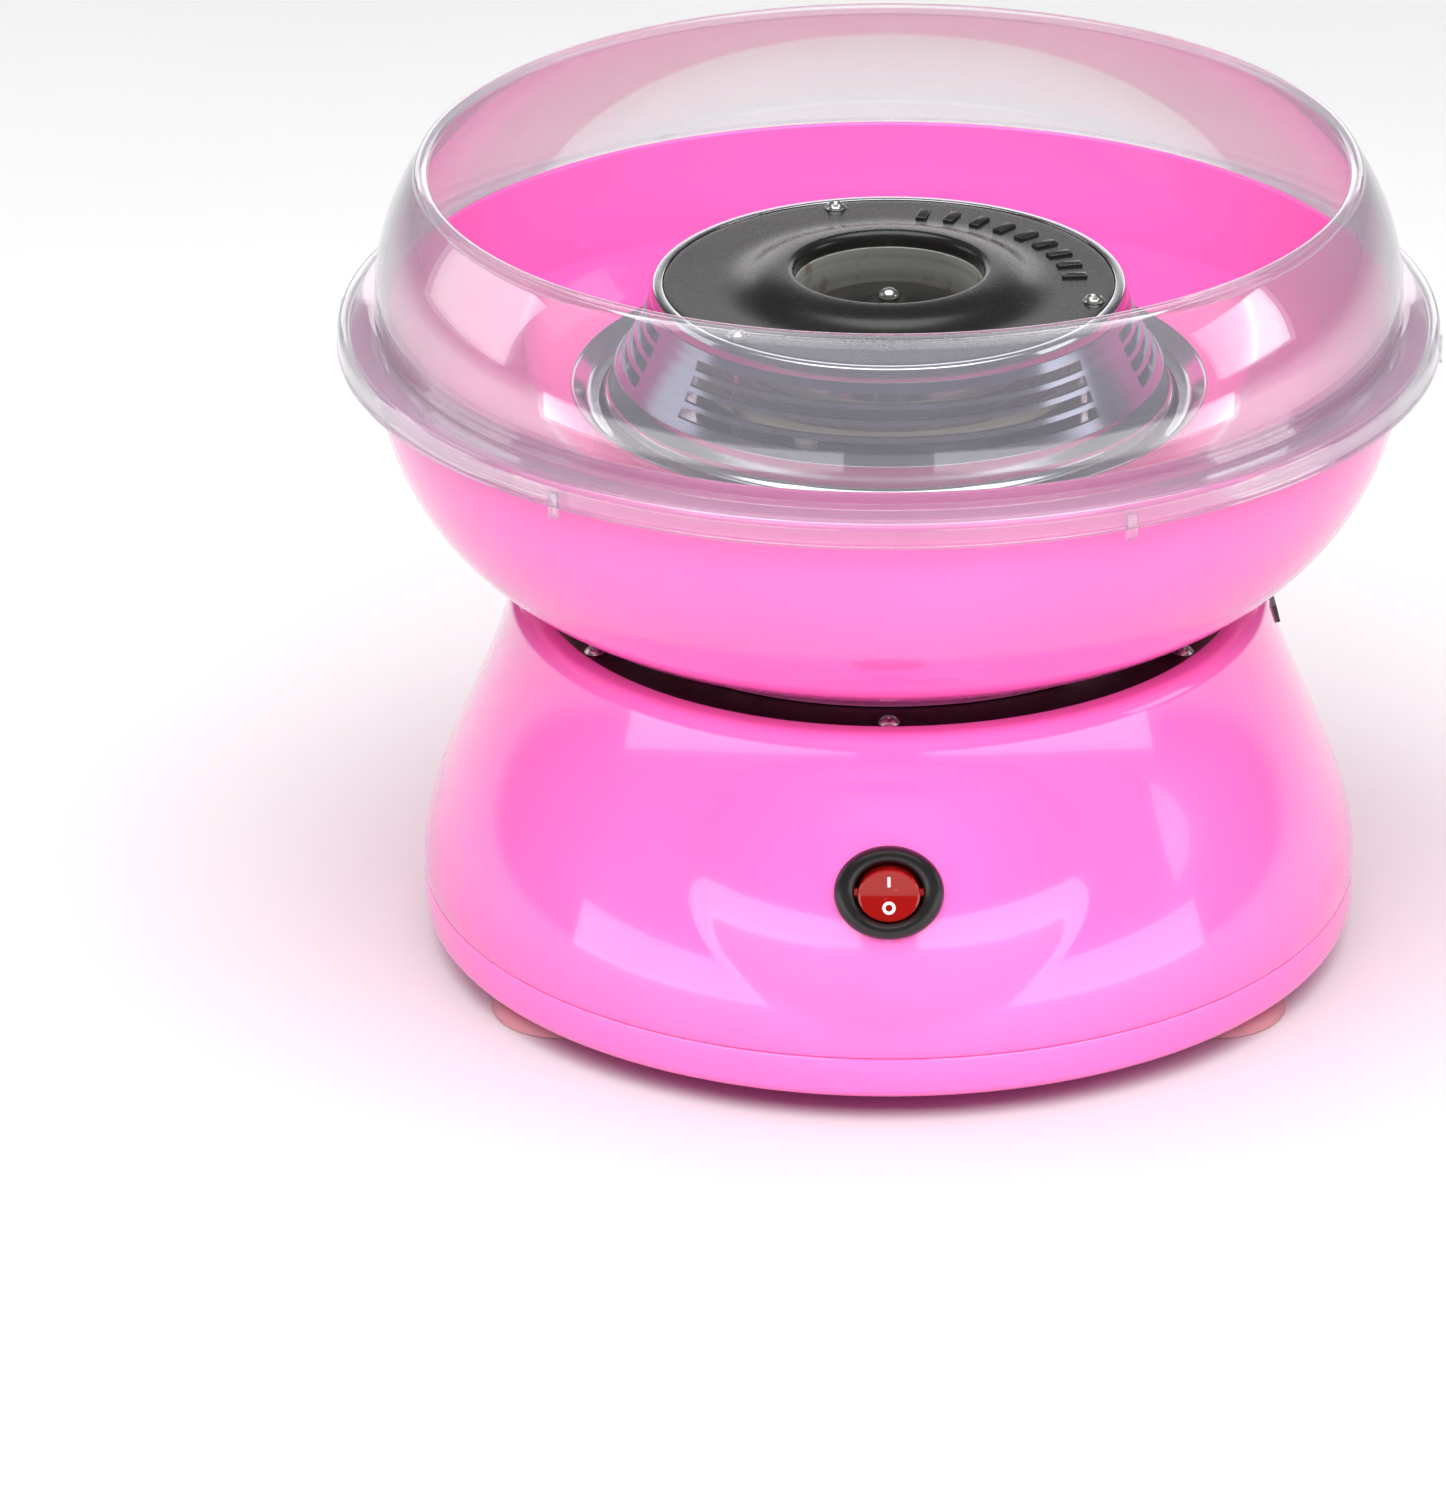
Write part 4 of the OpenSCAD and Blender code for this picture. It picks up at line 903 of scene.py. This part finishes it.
def band_data(windows=3, window_deg=101.5, rows=4, cols=540):
    """The slotted band as a thin wall with its slots left open."""
    z0, z1 = BAND_LOW[1], BAND_HIGH[1]
    margin, half_bar = 1.8, 0.6
    pitch = (z1 - z0 - 2 * margin) / rows
    cuts = [z0]
    for r in range(rows):
        low = z0 + margin + pitch * r + half_bar
        cuts += [low - 0.12, low, low + pitch - 2 * half_bar, low + pitch - 1.08]
    cuts.append(z1)
    zs = sorted(set(round(z, 4) for z in cuts))
    ts = [(z - z0) / (z1 - z0) for z in zs]
    angles = [2 * math.pi * k / cols for k in range(cols)]
    half = math.radians(window_deg / 2)

    def open_cell(i, j):
        zm = (zs[i] + zs[i + 1]) / 2
        k = (zm - z0 - margin) / pitch
        if not 0 <= k < rows:
            return False
        within = (k % 1) * pitch
        if not half_bar < within < pitch - half_bar:
            return False
        mid = (j + 0.5) * 2 * math.pi / cols
        for w in range(windows):
            past = mid - math.radians(270) - 2 * math.pi * w / windows
            if abs((past + math.pi) % (2 * math.pi) - math.pi) < half:
                return True
        return False

    n_z = len(zs)
    verts = []
    for side_inset in (0.0, BAND_T):
        for t in ts:
            r, z = bell(t, side_inset)
            verts += [(r * math.cos(a), r * math.sin(a), z) for a in angles]

    def v(s, i, j):
        return s * n_z * cols + i * cols + j % cols

    faces = []
    for i in range(n_z - 1):
        for j in range(cols):
            if open_cell(i, j):
                continue
            faces.append([v(0, i, j), v(0, i, j + 1), v(0, i + 1, j + 1), v(0, i + 1, j)])
            faces.append([v(1, i, j), v(1, i + 1, j), v(1, i + 1, j + 1), v(1, i, j + 1)])
            if i == 0 or open_cell(i - 1, j):
                faces.append([v(0, i, j), v(1, i, j), v(1, i, j + 1), v(0, i, j + 1)])
            if i == n_z - 2 or open_cell(i + 1, j):
                faces.append([v(0, i + 1, j), v(0, i + 1, j + 1), v(1, i + 1, j + 1), v(1, i + 1, j)])
            if open_cell(i, (j - 1) % cols):
                faces.append([v(0, i, j), v(0, i + 1, j), v(1, i + 1, j), v(1, i, j)])
            if open_cell(i, (j + 1) % cols):
                faces.append([v(0, i, j + 1), v(1, i, j + 1), v(1, i + 1, j + 1), v(0, i + 1, j + 1)])
    used = sorted({i for f in faces for i in f})
    where = {old: new for new, old in enumerate(used)}
    return [verts[i] for i in used], [[where[i] for i in f] for f in faces]


piece("slotted_band_skin", band_data(), band_metal, "head", ["slotted_band"], 50)

pan_loop = (
    rounded(
        [(SHAFT_R, PAN_Z - 9), (SHAFT_R, PAN_Z - 10), (12, PAN_Z - 10), (12, PAN_Z), (PAN_R - 1, PAN_Z)],
        [0, 0.8, 1.5],
    )
    + arc(PAN_R - 0.8, PAN_Z + 0.8, 0.8, -90, 80, 12)
    + bezier([(PAN_R - 0.7, PAN_Z + 1.62), (PAN_R - 2.2, PAN_Z + 2.2), (BAND_LOW[0] + 0.7, PAN_Z + 5),
              (BAND_LOW[0] + 0.3, BAND_LOW[1])], 12)
    + [(BAND_LOW[0] - 1, BAND_LOW[1])]
    + bezier([(BAND_LOW[0] - 1, BAND_LOW[1]), (BAND_LOW[0] - 0.9, PAN_Z + 4),
              (BAND_LOW[0] - 0.2, PAN_Z + PAN_T), (PAN_R - 6, PAN_Z + PAN_T)], 10)
    + [(SHAFT_R, PAN_Z + PAN_T)]
)
piece("lower_pan_skin", lathe_data(pan_loop), aluminium, "head", ["lower_pan"], 40)

RING_Z = BAND_HIGH[1]
ring_in, seat_in = BAND_HIGH[0] - BAND_T - 0.1, CAP_R - 1.9
top_ring_loop = rounded(
    [(seat_in, RING_Z - 0.5), (seat_in, RING_Z - 1), (ring_in, RING_Z - 1), (ring_in, RING_Z),
     (BAND_HIGH[0], RING_Z), (60.4, HEAD_TOP - 1.2), (59.9, HEAD_TOP), (CAP_R + 0.2, HEAD_TOP),
     (CAP_R + 0.2, RING_Z), (seat_in, RING_Z), (seat_in, RING_Z - 0.5)],
    [0, 0, 0, 0.5, 0.5, 0.6, 0.3, 0, 0],
)
piece("head_ring_skin", lathe_data(top_ring_loop), aluminium, "head", ["head_ring"], 40)

cap_loop = (
    [(MOUTH_R + 0.2, CAP_Z - CAP_T), (CAP_R, CAP_Z - CAP_T)]
    + rounded([(CAP_R, CAP_Z - CAP_T + 0.4), (CAP_R, CAP_Z), (CAP_R - 2, CAP_Z)], [0.4])
    + bezier([(46, CAP_Z), (41, CAP_Z), (38.5, CAP_Z + 0.1), (34.5, CAP_Z + 2.2)], 20)
    + bezier([(34.5, CAP_Z + 2.2), (31.5, CAP_Z + 3.8), (27.8, CAP_Z + 4.0), (26, CAP_Z + 4.0)], 16)
    + arc(MOUTH_R + 2.0, CAP_Z + 2.0, 2.0, 92, 180, 10)
    + [(MOUTH_R, CAP_Z - CAP_T + 0.2)]
)


# Plain raised bars along the cap's rear right, in place of the real cap's lettering.
BARS, BAR_FIRST_DEG, BAR_STEP_DEG, BAR_RING, BAR_SIZE = 9, 4, 9.4, 47.25, (6.5, 3, 1.7)


def cap_data():
    parts = [lathe_data(cap_loop)]
    for k in range(BARS):
        a = math.radians(BAR_FIRST_DEG + BAR_STEP_DEG * k)
        m = Matrix.Rotation(a, 4, "Z") @ Matrix.Translation((BAR_RING, 0, CAP_Z - 0.15))
        parts.append(placed(bevelled_box(BAR_SIZE, 0.4), m))
    return joined(parts)


piece("head_cap_skin", cap_data(), bakelite, "head", ["head_cap"], 40)
cap_screw_set = [
    placed(
        screw_data(*PAN_HEAD, CAP_Z - PAN_Z, twist=k * 0.7),
        on_ring(SCREW_RING, a, CAP_Z),
    )
    for k, a in enumerate(CAP_SCREWS)
]
piece("cap_screw_set", joined(cap_screw_set), zinc, "head", ["cap_screws"])

CUP_Z = 166
cup_in, liner_r, under_cap = MOUTH_R - 0.5, MOUTH_R - 0.05, CAP_Z - CAP_T - 0.05
cup_loop = rounded(
    [(cup_in, CUP_Z + 4), (cup_in, CUP_Z), (MOUTH_R + 3, CUP_Z), (MOUTH_R + 3, CUP_Z + 1),
     (MOUTH_R + 0.8, CUP_Z + 1), (MOUTH_R + 0.8, under_cap), (liner_r, under_cap), (liner_r, CAP_Z),
     (cup_in, CAP_Z), (cup_in, CUP_Z + 4)],
    [0.3, 0.3, 0.3, 0.3, 0, 0, 0.1, 0.1],
)
piece("sugar_cup_skin", lathe_data(cup_loop), cup_metal, "head", ["sugar_cup"], 50)

BORE_R = 1.6
spreader_loop = rounded(
    [(BORE_R, SHAFT_TOP + 1), (BORE_R, SHAFT_TOP), (4.5, SHAFT_TOP), (19.5, SHAFT_TOP - 1.4),
     (19.8, SHAFT_TOP - 0.6), (8, SHAFT_TOP + 1.8), (4.2, SHAFT_TOP + 2.8), (BORE_R, SHAFT_TOP + 2.8),
     (BORE_R, SHAFT_TOP + 1)],
    [0, 0.4, 0.3, 0.3, 1.5, 0.4, 0],
)
piece("spreader_skin", lathe_data(spreader_loop), spreader_metal, "head", ["spreader"], 40)
dome = [(0, SHAFT_TOP - 7.2), (1.5, SHAFT_TOP - 7.2), (1.5, SHAFT_TOP + 2.8), (2.5, SHAFT_TOP + 2.8)]
dome += [(2.7 * math.cos(a), SHAFT_TOP + 3.0 + 2.4 * math.sin(a)) for a in np.linspace(0, math.pi / 2, 14)]
dome_data = lathe_data(dome, turn(64), False)
piece("centre_screw_dome", dome_data, zinc, "head", ["centre_screw"], 50)


# ---------------------------------------------------------------- floor, light and camera
def floor_material():
    g = Graph("floor")
    tone = g.mix(g.spread(g.noise(3, 2), 0, 1), (0.9, 0.9, 0.9), (0.94, 0.94, 0.94))
    rough = g.spread(g.noise(8, 2), 0.7, 0.85)
    return g.finish(g.principled(Base_Color=tone, Roughness=rough, Specular_IOR_Level=0.1))


FLOOR_R = 14.0
ground = bpy.data.meshes.new("floor")
floor_edge = [(FLOOR_R * math.cos(a), FLOOR_R * math.sin(a), 0) for a in turn(64)]
ground.from_pydata(floor_edge, [], [list(range(64))])
ground.materials.append(floor_material())
floor = bpy.data.objects.new("floor", ground)
bpy.context.scene.collection.objects.link(floor)


def softbox(name, place, aim, size, radiance, gloss=True, fill=True):
    """A soft light no camera sees; gloss and fill: it shows in reflections, it lights surfaces."""
    light = bpy.data.lights.new(name, "AREA")
    light.shape = "RECTANGLE"
    light.size, light.size_y = size
    light.energy = radiance * math.pi * size[0] * size[1]
    o = bpy.data.objects.new(name, light)
    o.location = place
    o.rotation_mode = "QUATERNION"
    o.rotation_quaternion = (Vector(aim) - Vector(place)).to_track_quat("-Z", "Y")
    o.visible_camera = False
    o.visible_glossy = gloss
    o.visible_diffuse = fill
    bpy.context.scene.collection.objects.link(o)
    return o


def shield(light, o):
    """Keeps one light off one object, as a flag held in front of it would."""
    group = bpy.data.collections.new(light.name + "_shield")
    bpy.context.scene.collection.children.link(group)
    group.objects.link(o)
    light.light_linking.receiver_collection = group
    group.collection_objects[0].light_linking.link_state = "EXCLUDE"


# Place, aim, size and radiance. A fill lights without a mirror image, a card or box is seen in the gloss.
TARGET = (0, 0, 0.1)
softbox("top_fill", (0, -0.35, 1.5), (0, -0.1, 0.1), (2.8, 2.3), 2.45, gloss=False)
shield(softbox("front_key", (0, -1.9, 1.4), TARGET, (1.8, 1.2), 7.6, gloss=False), floor)
softbox("back_card", (0, 2.0, 0.56), TARGET, (2.2, 0.7), 2.0, fill=False)
shield(softbox("top_box", (0, -0.15, 1.5), TARGET, (1.6, 1.3), 3.0, fill=False), shell)
shield(softbox("left_box", (-1.15, 0.3, 0.42), TARGET, (0.7, 0.6), 1.3), shell)
softbox("right_box", (1.18, -0.11, 0.46), TARGET, (0.5, 0.45), 2.2)
CARD_Z = 0.065
for side_name, sign in (("left", -1), ("right", 1)):
    place = (sign * 0.47, -0.52, CARD_Z)
    softbox(side_name + "_card", place, (0, 0, CARD_Z), (0.92, 0.13), 2.8, fill=False)

# The surroundings are plain white to the camera and dim to everything else.
world = bpy.data.worlds.new("studio")
bpy.context.scene.world = world
world.use_nodes = True
wt = world.node_tree
wt.nodes.clear()
w_out = wt.nodes.new("ShaderNodeOutputWorld")
seen = wt.nodes.new("ShaderNodeBackground")
seen.inputs["Color"].default_value = (1, 1, 1, 1)
seen.inputs["Strength"].default_value = 1.0
dim = wt.nodes.new("ShaderNodeBackground")
dim.inputs["Color"].default_value = (0.95, 0.97, 1.0, 1)
dim.inputs["Strength"].default_value = 0.12
path = wt.nodes.new("ShaderNodeLightPath")
pick = wt.nodes.new("ShaderNodeMixShader")
wt.links.new(path.outputs["Is Camera Ray"], pick.inputs[0])
wt.links.new(dim.outputs[0], pick.inputs[1])
wt.links.new(seen.outputs[0], pick.inputs[2])
wt.links.new(pick.outputs[0], w_out.inputs["Surface"])

CAMERA_PITCH = math.radians(24.8)
CAMERA_FAR = 2.0857
AXIS_Z = 0.0464  # height at which the view's middle line crosses the object's axis
cam_data = bpy.data.cameras.new("camera")
cam_data.sensor_width = 36
cam_data.lens = 192.3
cam_data.shift_x = -0.1108
cam_data.clip_start, cam_data.clip_end = 0.05, 50
cam = bpy.data.objects.new("camera", cam_data)
cam.location = (0, -CAMERA_FAR * math.cos(CAMERA_PITCH), AXIS_Z + CAMERA_FAR * math.sin(CAMERA_PITCH))
cam.rotation_euler = (math.pi / 2 - CAMERA_PITCH, 0, 0)
bpy.context.scene.collection.objects.link(cam)
bpy.context.scene.camera = cam

scene = bpy.context.scene
scene.view_settings.view_transform = "Standard"
scene.cycles.max_bounces = 12
scene.cycles.transparent_max_bounces = 24
scene.cycles.caustics_reflective = False
scene.cycles.caustics_refractive = False
